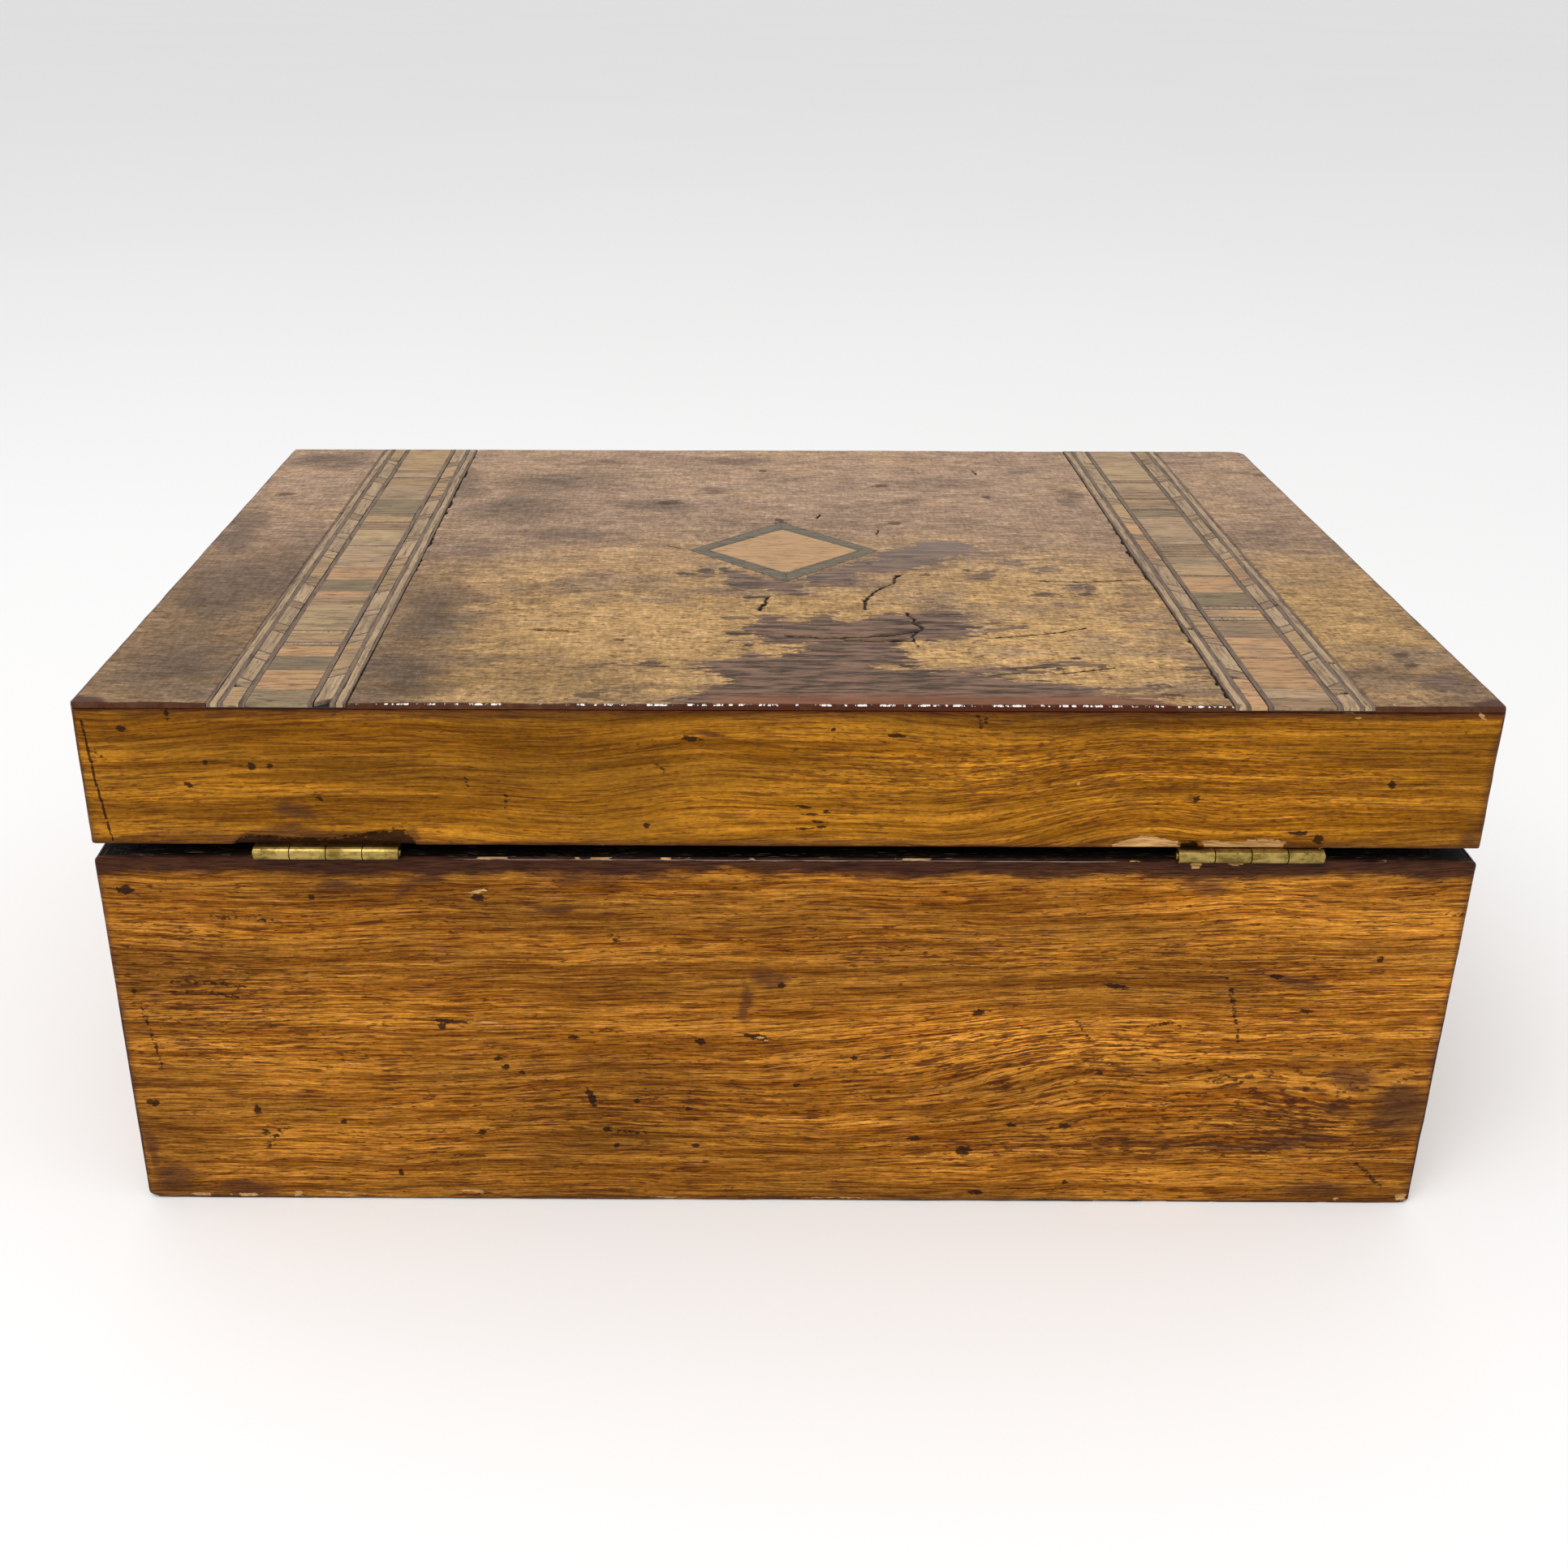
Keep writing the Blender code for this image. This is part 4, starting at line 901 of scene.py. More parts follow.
def core(shape, place, low, high, ends, slices, seed):
    """The cross-grain middle strip between its two dark lines."""
    chance = np.random.default_rng(seed)
    long_strip(shape, place, low, low + CORE_LINE - 0.05, ends, LINE, seed + 1)
    long_strip(shape, place, high - CORE_LINE + 0.05, high, ends, LINE, seed + 2)
    cuts = []
    for item in slices:
        if item[0] == "stripes":
            count = max(1, round(item[1] / 1.6))
            cuts += [(item[1] / count / 2, wood) for _ in range(count) for wood in (LINE, TAN)]
        else:
            cuts.append(item)
    scale = (ends[1] - ends[0]) / sum(length for length, wood in cuts)
    v = ends[0]
    for length, wood in cuts:
        end = v + length * scale
        tile(shape, place, low + CORE_LINE, high - CORE_LINE, v + 2 * JOINT, end - 2 * JOINT, wood,
             chance.uniform(0.1, 0.9), chance.uniform(-0.02, 0.02))
        v = end


def top_bands(woods):
    """The two bands of the top, each a core between two borders."""
    def place(u, v, depth):
        return top_place(u, v, depth + 0.06 - 0.05 * fractal(u / 5, v / 3, 91, 2))

    ends = (-HALF_DEPTH, HALF_DEPTH)
    for side, seed in (("left", 110), ("right", 150)):
        for part in ("outer", "inner"):
            name = f"band_{side}_{part}"
            low, high = node_box(name)
            shape = Shape()
            flip = (side == "left") == (part == "outer")
            edges = (high[0], low[0]) if flip else (low[0], high[0])
            border(shape, place, *edges, ends, seed + (10 if flip else 20))
            shape.build(name, woods, "lid", LID_CORNERS)
        name = f"band_{side}_core"
        low, high = node_box(name)
        shape = Shape()
        core(shape, place, low[0], high[0], ends, SLICES[side], seed + 30)
        shape.build(name, woods, "lid", LID_CORNERS)


def front_bands(woods):
    """The same bands carried down the front of the lid and the body."""
    for part in ("lid", "body"):
        for number, side in enumerate(("left", "right")):
            name = f"{part}_front_band_{side}"
            low, high = node_box(name)
            ends = (low[2], high[2])
            shape = Shape()

            def place(u, v, depth):
                return np.stack([u, low[1] + 0.04 + depth * 0.4, v], -1)

            width = sum(width for width, wood in BORDER_LANES)
            seed = 210 + 40 * number + (20 if part == "lid" else 0)
            border(shape, place, low[0], low[0] + width, ends, seed)
            border(shape, place, high[0], high[0] - width, ends, seed + 5)
            kept = 15 if part == "body" else 6
            plain = [item for item in SLICES[side] if item[0] != "stripes"]
            core(shape, place, low[0] + width + 0.1, high[0] - width - 0.1, ends, plain[-kept:],
                 seed + 10)
            shape.build(name, woods, part, CORNERS[part])


def diamond(light_wood, dark_woods):
    """The lozenge: four mitred border strips whose tips cross, each of three slips, and a pale panel."""
    low, high = node_box("diamond_panel")
    panel_x, panel_y = (high[0] - low[0]) / 2, (high[1] - low[1]) / 2
    lanes = [(0.0, 0.16, 0.2), (0.16, 0.22, 0.75), (0.22, 0.80, 0.42), (0.80, 1.0, 0.1)]
    shape = Shape()
    for number, (sx, sy) in enumerate(((1, 1), (-1, 1), (-1, -1), (1, -1))):
        for start, end, tone in lanes:

            def place(u, v, depth):
                """u runs from the outer edge (0) to the inner one (1), v along the side from 0 to 1."""
                width_x = DIAMOND_HALF_X + (panel_x + 0.25 - DIAMOND_HALF_X) * u
                width_y = DIAMOND_HALF_Y + (panel_y + 0.25 - DIAMOND_HALF_Y) * u
                return np.stack([DIAMOND_X + sx * width_x * (1 - v), DIAMOND_Y + sy * width_y * v,
                                 LID_TOP + 0.03 - depth], -1)

            us = np.array([start + 0.01, start + 0.03, end - 0.03, end - 0.01])
            vs = np.linspace(0.002, 0.998, 24)
            slab(shape, us, vs, place, DIAMOND_INLAY, int(tone > 0.7),
                 fields={"tone": tone + 0.04 * number})
    shape.build("diamond_border", dark_woods, "lid")

    shape = Shape()

    def lozenge(u, v, depth):
        """A square grid turned into the panel's lozenge."""
        x = DIAMOND_X + panel_x * (u - v)
        y = DIAMOND_Y + panel_y * (u + v - 1)
        return np.stack([x, y, LID_TOP + 0.02 + 0.05 * fractal(x / 9, y / 7, 95, 2) - depth], -1)

    edge = np.concatenate([[0.0, 0.004], np.linspace(0.03, 0.97, 30), [0.996, 1.0]])
    slab(shape, edge, edge, lozenge, DIAMOND_INLAY, fields={"tone": 0.6})
    shape.build("diamond_panel", [light_wood], "lid")


# ---- Sides ----
# Places on the back are in x and z, in the same forms as on the top.

BODY_BACK_STAINS = [
    (-130, 28, 6, 1.2), (-146, 28, 9, 13), (-133, 38, 7, 4), (-105, 17.5, 38, 1.3), (-130, 4, 12, 4),
    (146, 6, 9, 7), (3, 63, 6, 4), (8, 56, 2, 9), (80, 87, 9, 2.6, -30), (100, 86, 8, 2.4),
    (50, 81, 6, 1.6, -20), (-118, 63, 9, 2.4, 12), (-94, 87, 8, 2), (38, 90, 26, 4), (-20, 91, 30, 2.4),
    (128, 3, 14, 2.2), (150, 14, 2.6, 12), (-135, 37, 9, 5), (-124, 19, 12, 2),
]
BODY_BACK_MARKS = [
    (146.3, 85.2, 2.2, 1.1), (68.2, 83.6, 1.9, 1.0), (105, 83.4, 1, 0.8), (78.6, 49.7, 1.2, 1.0),
    (44.7, 29.7, 3.6, 1.0, 71), (41.1, 20.8, 1.1, 1.1), (39, 16.3, 1, 0.8), (123.5, 25.8, 1, 1.7),
    (70.8, 19.9, 1.3, 1), (48, 46.9, 1.4, 0.7), (65.8, 40.8, 1.2, 0.8), (64.1, 38.6, 1.2, 1),
    (60.8, 36.9, 1.1, 0.7), (18.5, 45.8, 1.8, 1.0, 10), (5.4, 47, 3.2, 0.9, 10), (21.3, 26.9, 0.9, 0.7),
    (33.5, 29, 0.9, 0.8), (20.2, 16.3, 1, 0.8), (103, 22.8, 1, 0.7), (90.8, 8, 0.8, 1.2),
    (0.2, 60.8, 1, 1), (-43.9, 15.2, 1.9, 1.7), (-74.4, 37.4, 1.4, 0.8), (-135, 68.6, 0.9, 1.0),
    (-45.6, 53.9, 1.6, 0.9), (-54.4, 22.7, 1.5, 0.8), (-67.2, 22.7, 2, 0.9), (-32, 18.6, 2, 0.8),
    (-3.9, 33.6, 1, 0.6), (-76, 61, 4, 0.8, 8), (-47.8, 3, 1.8, 1), (-69, 6, 0.9, 0.7),
    (-120.5, 54.5, 1.6, 0.7), (-17, 41.5, 1, 0.7, 30), (-112, 64, 2.4, 0.8, 15), (148, 58.5, 0.9, 0.8),
    (147.5, 28, 2, 1.1), (76, 51, 5, 0.6, 5),
]
BODY_BACK_STROKES = [
    (0.5, [(128, 78.2), (116, 77.4), (111, 76.4)]), (0.7, [(38.4, 20.3), (32, 20)]),
    (0.8, [(117, 20.8), (119.6, 19.4), (121.6, 15.4)]), (0.6, [(119.6, 19.4), (122.4, 19.7)]),
    (0.5, [(-101, 63.6), (-104, 54), (-105.6, 46.3)]), (0.5, [(39, 74), (36.6, 71.6)]),
    (0.5, [(36.8, 73.8), (38, 71.8)]), (0.4, [(147, 55), (144, 37)]),
    (0.5, [(141, 61.4), (130, 61.2), (122, 59.6)]), (0.45, [(140, 58.4), (131, 58.6), (124, 57)]),
    (0.5, [(-68, 51.6), (-71, 47.2)]), (0.45, [(-84, 50), (-89, 51.4), (-94, 49.6)]),
    (0.5, [(-99, 39), (-108, 35)]), (0.5, [(-138, 12), (-145, 5)]), (0.5, [(-148, 80.6), (-152, 79.8)]),
]
BODY_BACK_BARE = [
    (4.6, 46.6, 2.6, 0.4, 12), (68, 85, 3, 0.5, -20), (104, 1.6, 6, 0.4, 5), (73, 2.2, 5, 0.4, 10),
    (128, 1.1, 4, 0.4), (140, 1.2, 3, 0.4), (-10, 0.7, 14, 0.25), (26, 0.7, 5, 0.25),
    (-90.6, 92.3, 1.4, 0.9), (-99, 92.6, 1.6, 0.6), (-150.5, 2, 2, 1.1), (-135, 1.4, 1, 0.4),
    (68, 50.6, 6, 0.4, 5), (116, 1.4, 1.4, 1.0), (41, 93.2, 3, 0.2), (-28, 93.2, 4, 0.2),
]
BODY_BACK_SHADE = [
    (-40, 47, 50, 14, 0.2, 3), (-114, 76, 40, 12, 0.14), (40, 24, 30, 13, -0.22, -3),
    (100, 84, 30, 6, -0.1), (146, 40, 12, 40, -0.1), (-146, 26, 12, 16, -0.2), (-40, 84, 60, 5, 0.05),
    (60, 45, 40, 5, -0.02, 3), (-62, 17.5, 60, 2.4, -0.14), (-60, 10, 60, 4, 0.12),
    (146, 8, 12, 10, -0.16), (40, 82, 60, 6, -0.15), (30, 72, 50, 6, 0.04), (-118, 25, 20, 8, 0.02),
    (0, 3, 150, 3, -0.08), (0, 86, 160, 5, -0.1), (-45, 50, 40, 9, 0.1, 3), (40, 26, 22, 8, -0.08, -3),
    (60, 9, 40, 5, -0.06), (-146, 60, 10, 30, 0.05), (115, 36, 18, 8, 0.06), (-10, 30, 24, 8, 0.02),
    (85, 45, 75, 50, -0.09),
]
BODY_BACK_PORES = [
    (-60, 42, 44, 12, 0.5, 3), (-50, 70, 50, 8, 0.3, 3), (-122, 25, 17, 7, 0.85), (132, 58, 20, 14, 0.5),
    (-90, 16, 50, 4, 0.6), (-110, 62, 20, 10, 0.4), (30, 30, 40, 10, 0.2),
]
LID_BACK_STAINS = [
    (110, 98.5, 34, 3.4), (16, 122.4, 5, 0.8, 8), (107, 105, 6, 3), (-118, 97.6, 20, 1.8),
    (82, 98.5, 3, 3), (-149, 100, 4, 3),
]
LID_BACK_MARKS = [
    (-130.6, 111.9, 0.9, 1.2), (-88.9, 108.3, 0.9, 1.0), (20, 122.0, 2.4, 0.8, 12),
    (115, 115.4, 1.3, 1.0), (111, 115.4, 0.9, 0.7), (129, 111, 1, 0.8, 20), (-10, 124.3, 0.7, 0.6),
    (-23.5, 123, 2.2, 0.5), (30, 101.5, 0.9, 0.7), (-116.6, 98.8, 1.3, 1.4), (142, 124, 1.6, 0.8),
    (-112, 100.4, 3, 0.6), (-4, 106, 2.2, 0.4, 5), (-6, 104.4, 2.4, 0.4), (-7, 102.8, 2.6, 0.4, 4),
    (-4, 101.2, 2.2, 0.4), (-9, 105.2, 1.4, 0.4), (-8, 101.6, 1.6, 0.4), (125, 116.4, 0.7, 0.8),
]
LID_BACK_SEAM = [(0.34, [(150.2, 126), (149.2, 112), (147.4, 97.5)])]
LID_BACK_STROKES = [
    (0.5, [(132, 129), (131.8, 125.6)]), (0.5, [(-40.6, 127.6), (-41.4, 125), (-42.6, 127)]),
    (0.5, [(149, 119), (146.6, 117)]), (0.5, [(101.6, 109.4), (101, 107.6)]),
    (0.5, [(60.6, 108.8), (60.6, 105)]), (0.45, [(69.2, 112.6), (68.8, 110.4)]),
    (0.45, [(28.6, 117), (26, 114.6)]),
]
LID_BACK_BARE = [(-63.1, 111.7, 0.5, 0.5), (-147.5, 128, 1.6, 0.5, 50), (-121, 127.4, 1, 0.3)]
LID_BACK_SHADE = [
    (-104, 109, 50, 14, 0.3), (-6, 104, 24, 5, 0.5), (60, 126, 90, 4, -0.16), (100, 103, 24, 5, -0.14),
    (-50, 127, 60, 3, -0.1), (60, 112, 40, 8, -0.08), (146, 110, 8, 14, 0.02), (-146, 108, 8, 14, -0.05),
    (20, 112, 20, 5, -0.05),
]
LID_BACK_PORES = [
    (-70, 116, 40, 12, 0.6, 8), (-20, 112, 40, 8, 0.4), (-120, 112, 30, 10, 0.4), (140, 108, 12, 12, 0.3),
]
TORN = [                   # veneer torn off along the lid's lower edge
    [(-71, 97.2), (-74, 98.3), (-78, 99.7), (-82, 99), (-86, 98.1), (-87, 96), (-72, 96)],
    [(-91, 98.2), (-94, 98.6), (-98, 98.2), (-104, 98.9), (-108, 98.8), (-110, 98), (-109, 96), (-92, 96)],
]
SHADED_HOLLOWS = [                 # hollows in the lid's lower edge over the hinges, cut in and painted dark as painted shade
    [(121, 97.4), (118, 99.2), (110, 98.4), (100, 98.2), (95, 98.9), (88, 100.2), (83, 100.4),
     (81, 97.4), (80, 95), (121, 95)],
    [(-86.6, 98.2), (-90.6, 98.1), (-91, 95), (-86.4, 95)],
]


WALLS = ("front", "back", "left", "right")


def side_place(axis, face, outward):
    """A place function for a wall whose face lies at that coordinate of that axis."""
    def place(u, v, depth):
        across = np.full(np.shape(u), face) - outward * depth
        return np.stack([across, u, v] if axis == 0 else [u, across, v], -1)
    return place


def side_rise(part, wall, u, v, seed):
    """How far the grain climbs, in mm: the figure of the back, or a slow wave on the other walls."""
    if wall != "back":
        return 5 * fractal(u / 80, v / 60, seed, 2)
    if part == "body":
        climb = 7 * smooth(12, -80, u) * np.exp(-((v - 46) / 17) ** 2)
        return climb + 3 * smooth(110, 20, u) * np.exp(-((v - 46) / 16) ** 2) + 3 * smooth(20, -120, u)
    swirl = 9 * smooth(-28, -86, u) * smooth(136, 104, v)
    return swirl + 2.5 * fractal(u / 50, v / 40, seed, 2)


def side_fields(part, wall, low, high):
    """What varies over one wall, as functions of its u and z."""
    stains, marks, thin, bare, shade, pores, torn, broken = {
        ("body", "back"): (BODY_BACK_STAINS, BODY_BACK_MARKS, BODY_BACK_STROKES, BODY_BACK_BARE,
                           BODY_BACK_SHADE, BODY_BACK_PORES, [], []),
        ("lid", "back"): (LID_BACK_STAINS, LID_BACK_MARKS, LID_BACK_STROKES, LID_BACK_BARE,
                          LID_BACK_SHADE, LID_BACK_PORES, TORN, SHADED_HOLLOWS),
    }.get((part, wall), ([],) * 8)
    seed = 500 + 10 * WALLS.index(wall) + (5 if part == "lid" else 0)
    chance = np.random.default_rng(seed)
    width, height = high[0] - low[0], high[1] - low[1]
    if wall != "back":
        def anywhere():
            return chance.uniform(low[0], high[0]), chance.uniform(low[1], high[1])

        marks = [(*anywhere(), chance.uniform(0.8, 2.2), chance.uniform(0.6, 1.2), chance.uniform(-20, 20))
                 for _ in range(round(width * height / 1500))]
        stains = [(*anywhere(), chance.uniform(7, 20), chance.uniform(2, 6))
                  for _ in range(round(width * height / 3500))]
        shade = [(*anywhere(), chance.uniform(20, 50), chance.uniform(5, 12), chance.uniform(-0.16, 0.16))
                 for _ in range(12)]
        pores = [(*anywhere(), 30, 9, 0.5) for _ in range(5)]

    def stain(u, v):
        """Named stains, and handling grime that deepens towards every edge."""
        edge = np.minimum.reduce([u - low[0], high[0] - u, v - low[1], high[1] - v])
        reach = 3 + 2.5 * fractal(u / 22, v / 22, seed, 3)
        return np.maximum(spots(u, v, stains, 2.5, seed + 1) * 1.5, smooth(reach, 0, edge) * 0.9)

    def rim(u, v):
        """The dark line along the top edge, the sides and the bottom."""
        reach = (4.2 if part == "body" else 0.5) * (1 + 0.75 * fractal(u / 11, u * 0, seed + 2, 4))
        worn = 0.45 + 0.75 * fractal(v / 16, v * 0, seed + 4, 3)
        ends = smooth(1.3, 0.2, np.minimum(u - low[0], high[0] - u)) * worn
        foot = smooth(1.0, 0.2, v - low[1]) * (0.7 + 0.5 * fractal(u / 18, u * 0, seed + 6, 3))
        fade = 1.8 if part == "body" else 0.3
        return np.maximum.reduce([1.3 * smooth(reach + fade, 0.2 * reach, high[1] - v), ends, foot])

    def glint(u, v):
        """A painted highlight along the body's worn top edge, where it catches the light."""
        return smooth(0.42, 0.28, high[1] - v) * smooth(0, 0.05, high[1] - v) * smooth(88, 66, np.abs(u))

    def mark(u, v):
        deep = np.maximum(spots(u, v, marks, 0.5, seed + 2), 0.26 * strokes(u, v, thin))
        if (part, wall) == ("lid", "back"):
            deep = np.maximum(deep, 1.1 * strokes(u, v, LID_BACK_SEAM))
        # The hollows over the hinges are painted dark too: painted shade
        return np.maximum.reduce([deep] + [0.35 * inside(u, v, outline) for outline in broken])

    def chips(u, v):
        """Bare wood, torn places and the chips along the top and bottom edges."""
        edge = np.minimum(v - low[1], high[1] - v)
        hit = smooth(0.3, 0.75, fractal(u / 7, v * 0 + seed, seed + 7, 3))
        deep = np.maximum(spots(u, v, bare, 0.4, seed + 3), hit * smooth(0.45, 0.1, edge) - 0.6)
        return np.maximum.reduce([deep] + [inside(u, v, outline) for outline in torn])

    return {"stain": stain, "mark": mark, "bare": chips, "rim": rim,
            "glint": glint if (part, wall) == ("body", "back") else 0.0,
            "rise": lambda u, v: side_rise(part, wall, u, v, seed),
            "shade": lambda u, v: np.clip(0.5 + glow(u, v, shade), 0, 1),
            "pores": lambda u, v: glow(u, v, pores)}


def side_relief(seed, bare, broken):
    """Slow waves, with torn places and the broken hollows let in."""
    def relief(u, v):
        lost = 0.35 * smooth(0.0, 0.2, bare(u, v))
        for outline in broken:
            lost = np.maximum(lost, 0.9 * smooth(-0.1, 0.5, inside(u, v, outline)))
        return 0.09 * fractal(u / 30, v / 18, seed, 3) - 0.09 - lost
    return relief


def side_veneer(part, wall, wood, ground):
    """The veneer of one wall. On the front it leaves room for the bands, which lie on the ground."""
    name = f"{part}_{wall}_veneer"
    low, high = node_box(name)
    axis = 0 if wall in ("left", "right") else 1
    run = 1 - axis
    outward = 1 if wall in ("left", "back") else -1
    face = high[axis] if outward > 0 else low[axis]
    thickness = high[axis] - low[axis]
    place = side_place(axis, face, outward)
    fields = side_fields(part, wall, (low[run], low[2]), (high[run], high[2]))
    broken = SHADED_HOLLOWS if (part, wall) == ("lid", "back") else []
    relief = side_relief(600 + len(name) + 7 * axis, fields["bare"], broken)
    shape = Shape()
    step = {("body", "back"): 0.64, ("lid", "back"): 0.5}.get((part, wall), 1.4)    # of the grid lines
    vs = lines(low[2], high[2], step)
    stretches = [(low[run], high[run])]
    if wall == "front":
        bands = [node_box(f"{part}_front_band_{side}") for side in ("right", "left")]
        edges = [low[0], *(band[end][0] for band in bands for end in (0, 1)), high[0]]
        stretches = [(edges[0], edges[1] - SEAM), (edges[2] + SEAM, edges[3] - SEAM),
                     (edges[4] + SEAM, edges[5])]
        for band in bands:
            slab(shape, lines(band[0][0] - SEAM, band[1][0] + SEAM, 3), vs,
                 side_place(1, face + FRONT_INLAY, outward), thickness - FRONT_INLAY, 1)
    for start, end in stretches:
        slab(shape, lines(start, end, step), vs, place, thickness, 0, relief, fields)
    shape.build(name, [wood, ground], part, CORNERS[part])


def rim_facing(wall, wood):
    """The rim's strip of facing, chipped along its outer edge."""
    name = f"body_{wall}_facing"
    low, high = node_box(name)
    along = 1 if wall in ("left", "right") else 0
    aside = 1 - along

    def place(u, v, depth):
        z = high[2] - depth
        return np.stack([u, v, z] if along == 0 else [v, u, z], -1)

    def relief(u, v):
        return 0.07 * fractal(u / 4, v / 2, 700 + len(name), 3) - 0.08

    shape = Shape()
    slab(shape, lines(low[along], high[along], 1.5), lines(low[aside], high[aside], 0.8), place,
         high[2] - low[2], 0, relief)
    shape.build(name, [wood], "body", BODY_CORNERS)


def worn_board(name, wood):
    """A CAD board whose corners show at a worn edge, with its edges broken and worn alike."""
    low, high = node_box(name)
    mesh = frame["nodes"][name].data.copy()
    mesh.transform(levelling(name))
    bm = bmesh.new()
    bm.from_mesh(mesh)
    bmesh.ops.remove_doubles(bm, verts=bm.verts, dist=0.01 * MM)
    bmesh.ops.dissolve_limit(bm, angle_limit=math.radians(1), verts=bm.verts, edges=bm.edges)
    sharp = [edge for edge in bm.edges if edge.calc_face_angle(0) > math.radians(30)]
    bmesh.ops.bevel(bm, geom=sharp, offset=0.3 * MM, segments=2, affect="EDGES", profile=0.5)
    for axis in range(3):
        for inset in (0.4, 0.8, 1.4, 2.2, 3.2, 4.6, 6.4, 9.0):      # cuts for the corners to bend
            for edge in (low[axis] + inset, high[axis] - inset):
                where, facing = [0, 0, 0], [0, 0, 0]
                where[axis], facing[axis] = edge * MM, 1
                bmesh.ops.bisect_plane(bm, geom=bm.verts[:] + bm.edges[:] + bm.faces[:], dist=1e-7,
                                       plane_co=where, plane_no=facing)
    # The cuts leave vertices and faces in an order that varies from run to run, so both are sorted
    ordered = sorted(bm.verts, key=lambda vertex: tuple(round(value / MM, 4) for value in vertex.co))
    for number, vertex in enumerate(ordered):
        vertex.index = number
    points = np.array([vertex.co for vertex in ordered]) / MM
    shape = Shape()
    shape.add(points, sorted([vertex.index for vertex in face.verts] for face in bm.faces))
    bm.free()
    bpy.data.meshes.remove(mesh)
    shape.build(name, [wood], BODY_OF[name], CORNERS[BODY_OF[name]])


# ---- Studio ----

def camera():
    """The photo's camera."""
    data = bpy.data.cameras.new("camera")
    data.sensor_width = IMAGE_SENSOR
    data.lens = LENS
    data.shift_x = CAMERA_SHIFT
    data.clip_start = 0.01
    piece = linked("camera", data)
    yaw, down = math.radians(CAMERA_YAW), math.radians(CAMERA_DOWN)
    ahead = Vector((math.sin(yaw) * math.cos(down), -math.cos(yaw) * math.cos(down), -math.sin(down)))
    turn = ahead.to_track_quat("-Z", "Y").to_matrix().to_4x4()
    roll = Matrix.Rotation(math.radians(CAMERA_ROLL), 4, "Z")
    piece.matrix_world = Matrix.Translation(Vector(CAMERA_PLACE) * MM) @ turn @ roll
    bpy.context.scene.camera = piece


def studio():
    """One soft light, an even white world and a plain pale floor."""
    data = bpy.data.lights.new("key", "AREA")
    data.shape = "SQUARE"
    data.size = KEY_SIZE
    data.energy = KEY_POWER
    light = linked("key", data)
    light.location = KEY_PLACE
    light.rotation_euler = (-Vector(KEY_PLACE)).to_track_quat("-Z", "Y").to_euler()
    world = bpy.data.worlds.new("studio")
    world.use_nodes = True
    background = world.node_tree.nodes["Background"]
    background.inputs["Color"].default_value = (1, 1, 1, 1)
    background.inputs["Strength"].default_value = SKY
    bpy.context.scene.world = world
    bpy.context.scene.view_settings.view_transform = "Standard"
    bm = bmesh.new()
    bmesh.ops.create_circle(bm, cap_ends=True, radius=FLOOR_RADIUS, segments=96)
    mesh = bpy.data.meshes.new("floor")
    bm.to_mesh(mesh)
    bm.free()
    mesh.materials.append(studio_floor("studio_floor"))
    linked("floor", mesh)


# ---- Assembly ----

camera()
studio()

GROUND = carcass_wood("glue_ground", "xyz", 300, (46, 34, 26), (26, 18, 14))
CARCASS_X = carcass_wood("carcass_x", "xzy", 310)
CARCASS_Y = carcass_wood("carcass_y", "yzx", 320)
RIM_X = shaded_rim_wood("rim_x", "xyz", 330)
RIM_Y = shaded_rim_wood("rim_y", "yxz", 340)
INLAY_WOODS = [
    inlay_wood("inlay_line", (122, 102, 86), (90, 73, 60), 10, "yxz", 0.1),
    inlay_wood("inlay_string", (178, 150, 116), (134, 110, 84), 20, "yxz", 0.2),
    inlay_wood("inlay_peach", (192, 150, 106), (152, 113, 78), 30),
    inlay_wood("inlay_tan", (180, 148, 106), (142, 112, 78), 40),
    inlay_wood("inlay_fawn", (180, 150, 116), (140, 112, 84), 50),
    inlay_wood("inlay_straw", (184, 156, 116), (146, 120, 86), 60),
    inlay_wood("inlay_olive", (142, 122, 92), (104, 88, 66), 70),
    inlay_wood("inlay_brown", (160, 130, 98), (112, 88, 64), 80),
]
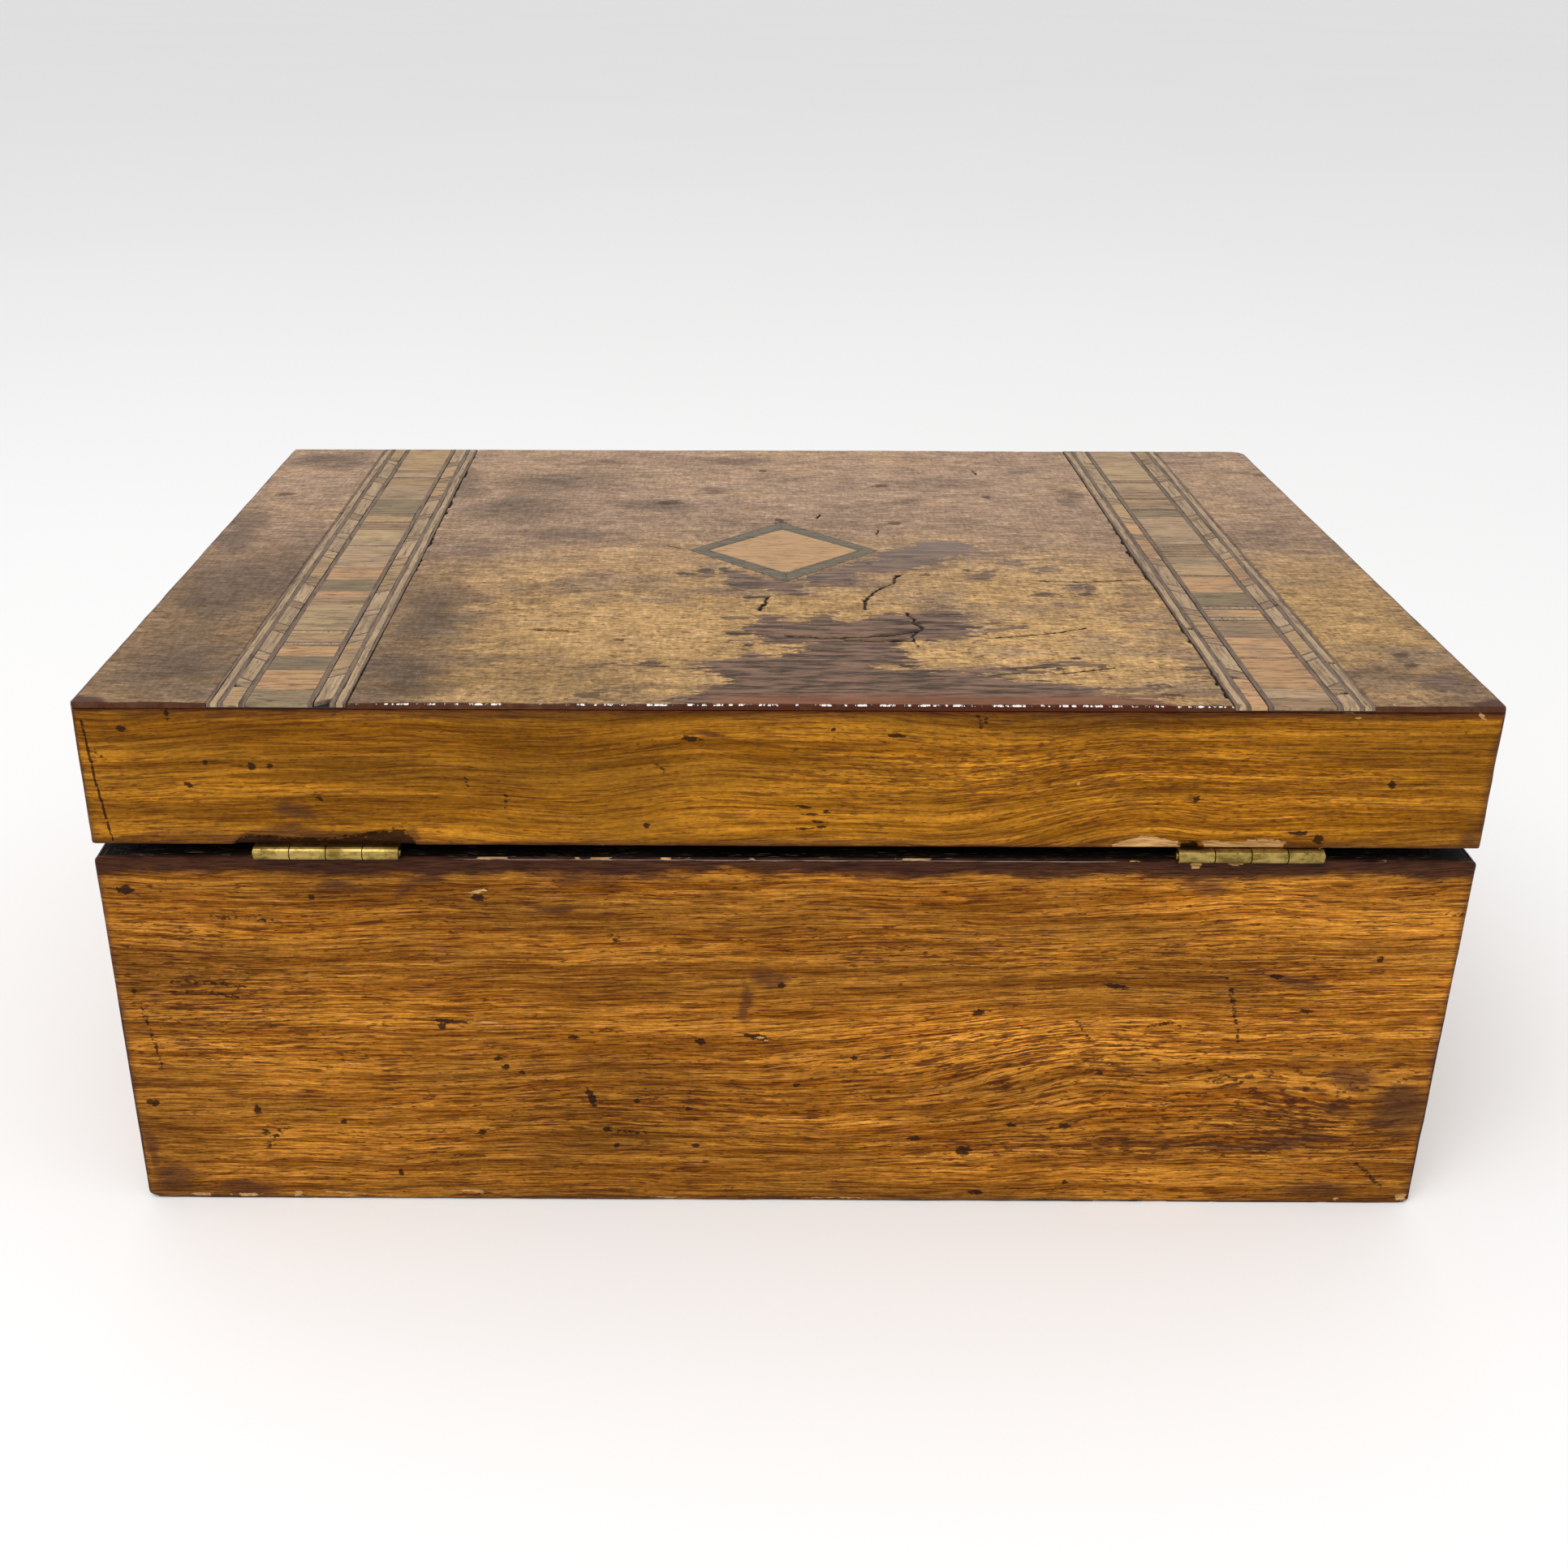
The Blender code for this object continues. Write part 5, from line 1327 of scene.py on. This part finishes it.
FRONT_WOODS = [            # the same woods on the front, warmer where the varnish is left
    inlay_wood("front_line", (74, 50, 32), (44, 28, 18), 110, "yxz", 0.0),
    inlay_wood("front_string", (186, 142, 82), (136, 98, 52), 120, "zxy", 0.05),
    inlay_wood("front_peach", (174, 122, 62), (134, 90, 42), 130, "xzy", 0.05),
    inlay_wood("front_tan", (180, 134, 72), (138, 98, 48), 140, "xzy", 0.05),
    inlay_wood("front_fawn", (166, 124, 72), (124, 90, 48), 150, "xzy", 0.05),
    inlay_wood("front_straw", (182, 144, 84), (142, 108, 56), 160, "xzy", 0.05),
    inlay_wood("front_olive", (116, 96, 52), (82, 66, 34), 170, "xzy", 0.05),
    inlay_wood("front_brown", (124, 82, 44), (84, 54, 28), 180, "xzy", 0.05),
]
LIVELY = {"body": 0.86, "lid": 0.46}
RIMS = {"body": ((30, 14, 14), (70, 40, 28)), "lid": ((52, 20, 5), (104, 54, 12))}
WALNUT = {                 # light, middle and dark
    "body": ((176, 116, 38), (146, 86, 14), (100, 50, 3)),
    "lid": ((164, 108, 26), (134, 82, 6), (98, 54, 2)),
}
DIAMOND_WOODS = [
    inlay_wood("diamond_dark", (118, 110, 92), (88, 80, 68), 84, "xyz", 0.3),
    inlay_wood("diamond_slip", (148, 130, 104), (112, 98, 80), 86, "xyz", 0.3),
]
DIAMOND_LIGHT = inlay_wood("diamond_light", (190, 151, 110), (164, 127, 88), 88, "xyz", 0.05)

top_veneer(faded_walnut("faded_walnut", 3), GROUND)
top_bands(INLAY_WOODS)
front_bands(FRONT_WOODS)
diamond(DIAMOND_LIGHT, DIAMOND_WOODS)
for part_number, part in enumerate(("body", "lid")):
    for wall_number, wall in enumerate(WALLS):
        order = "xzy" if wall in ("front", "back") else "yzx"
        seed = 20 * (1 + wall_number + 4 * part_number)
        walnut = varnished_walnut(f"walnut_{part}_{wall}", order, seed, *WALNUT[part],
                                  LIVELY[part], RIMS[part])
        side_veneer(part, wall, walnut, GROUND)
for wall in WALLS:
    rim_facing(wall, RIM_X if wall in ("front", "back") else RIM_Y)
for name in ("bottom_board", "lid_top_board", "lid_left_board", "lid_right_board"):
    worn_board(name, CARCASS_X if name in ("bottom_board", "lid_top_board") else CARCASS_Y)

KEPT = {                   # the materials of the CAD nodes that stay, by their names in CAD
    "carcass": CARCASS_X,
    "brass": aged_brass("aged_brass", 350),
    "steel": dull_steel("dull_steel", 360),
    "lining": lining_paper("lining_paper", 370),
}
for node in frame["nodes"].values():
    if node.hide_render:
        continue
    for number, old in enumerate(node.data.materials):
        node.data.materials[number] = KEPT[old.name.split(".")[0]]

bpy.context.view_layer.update()
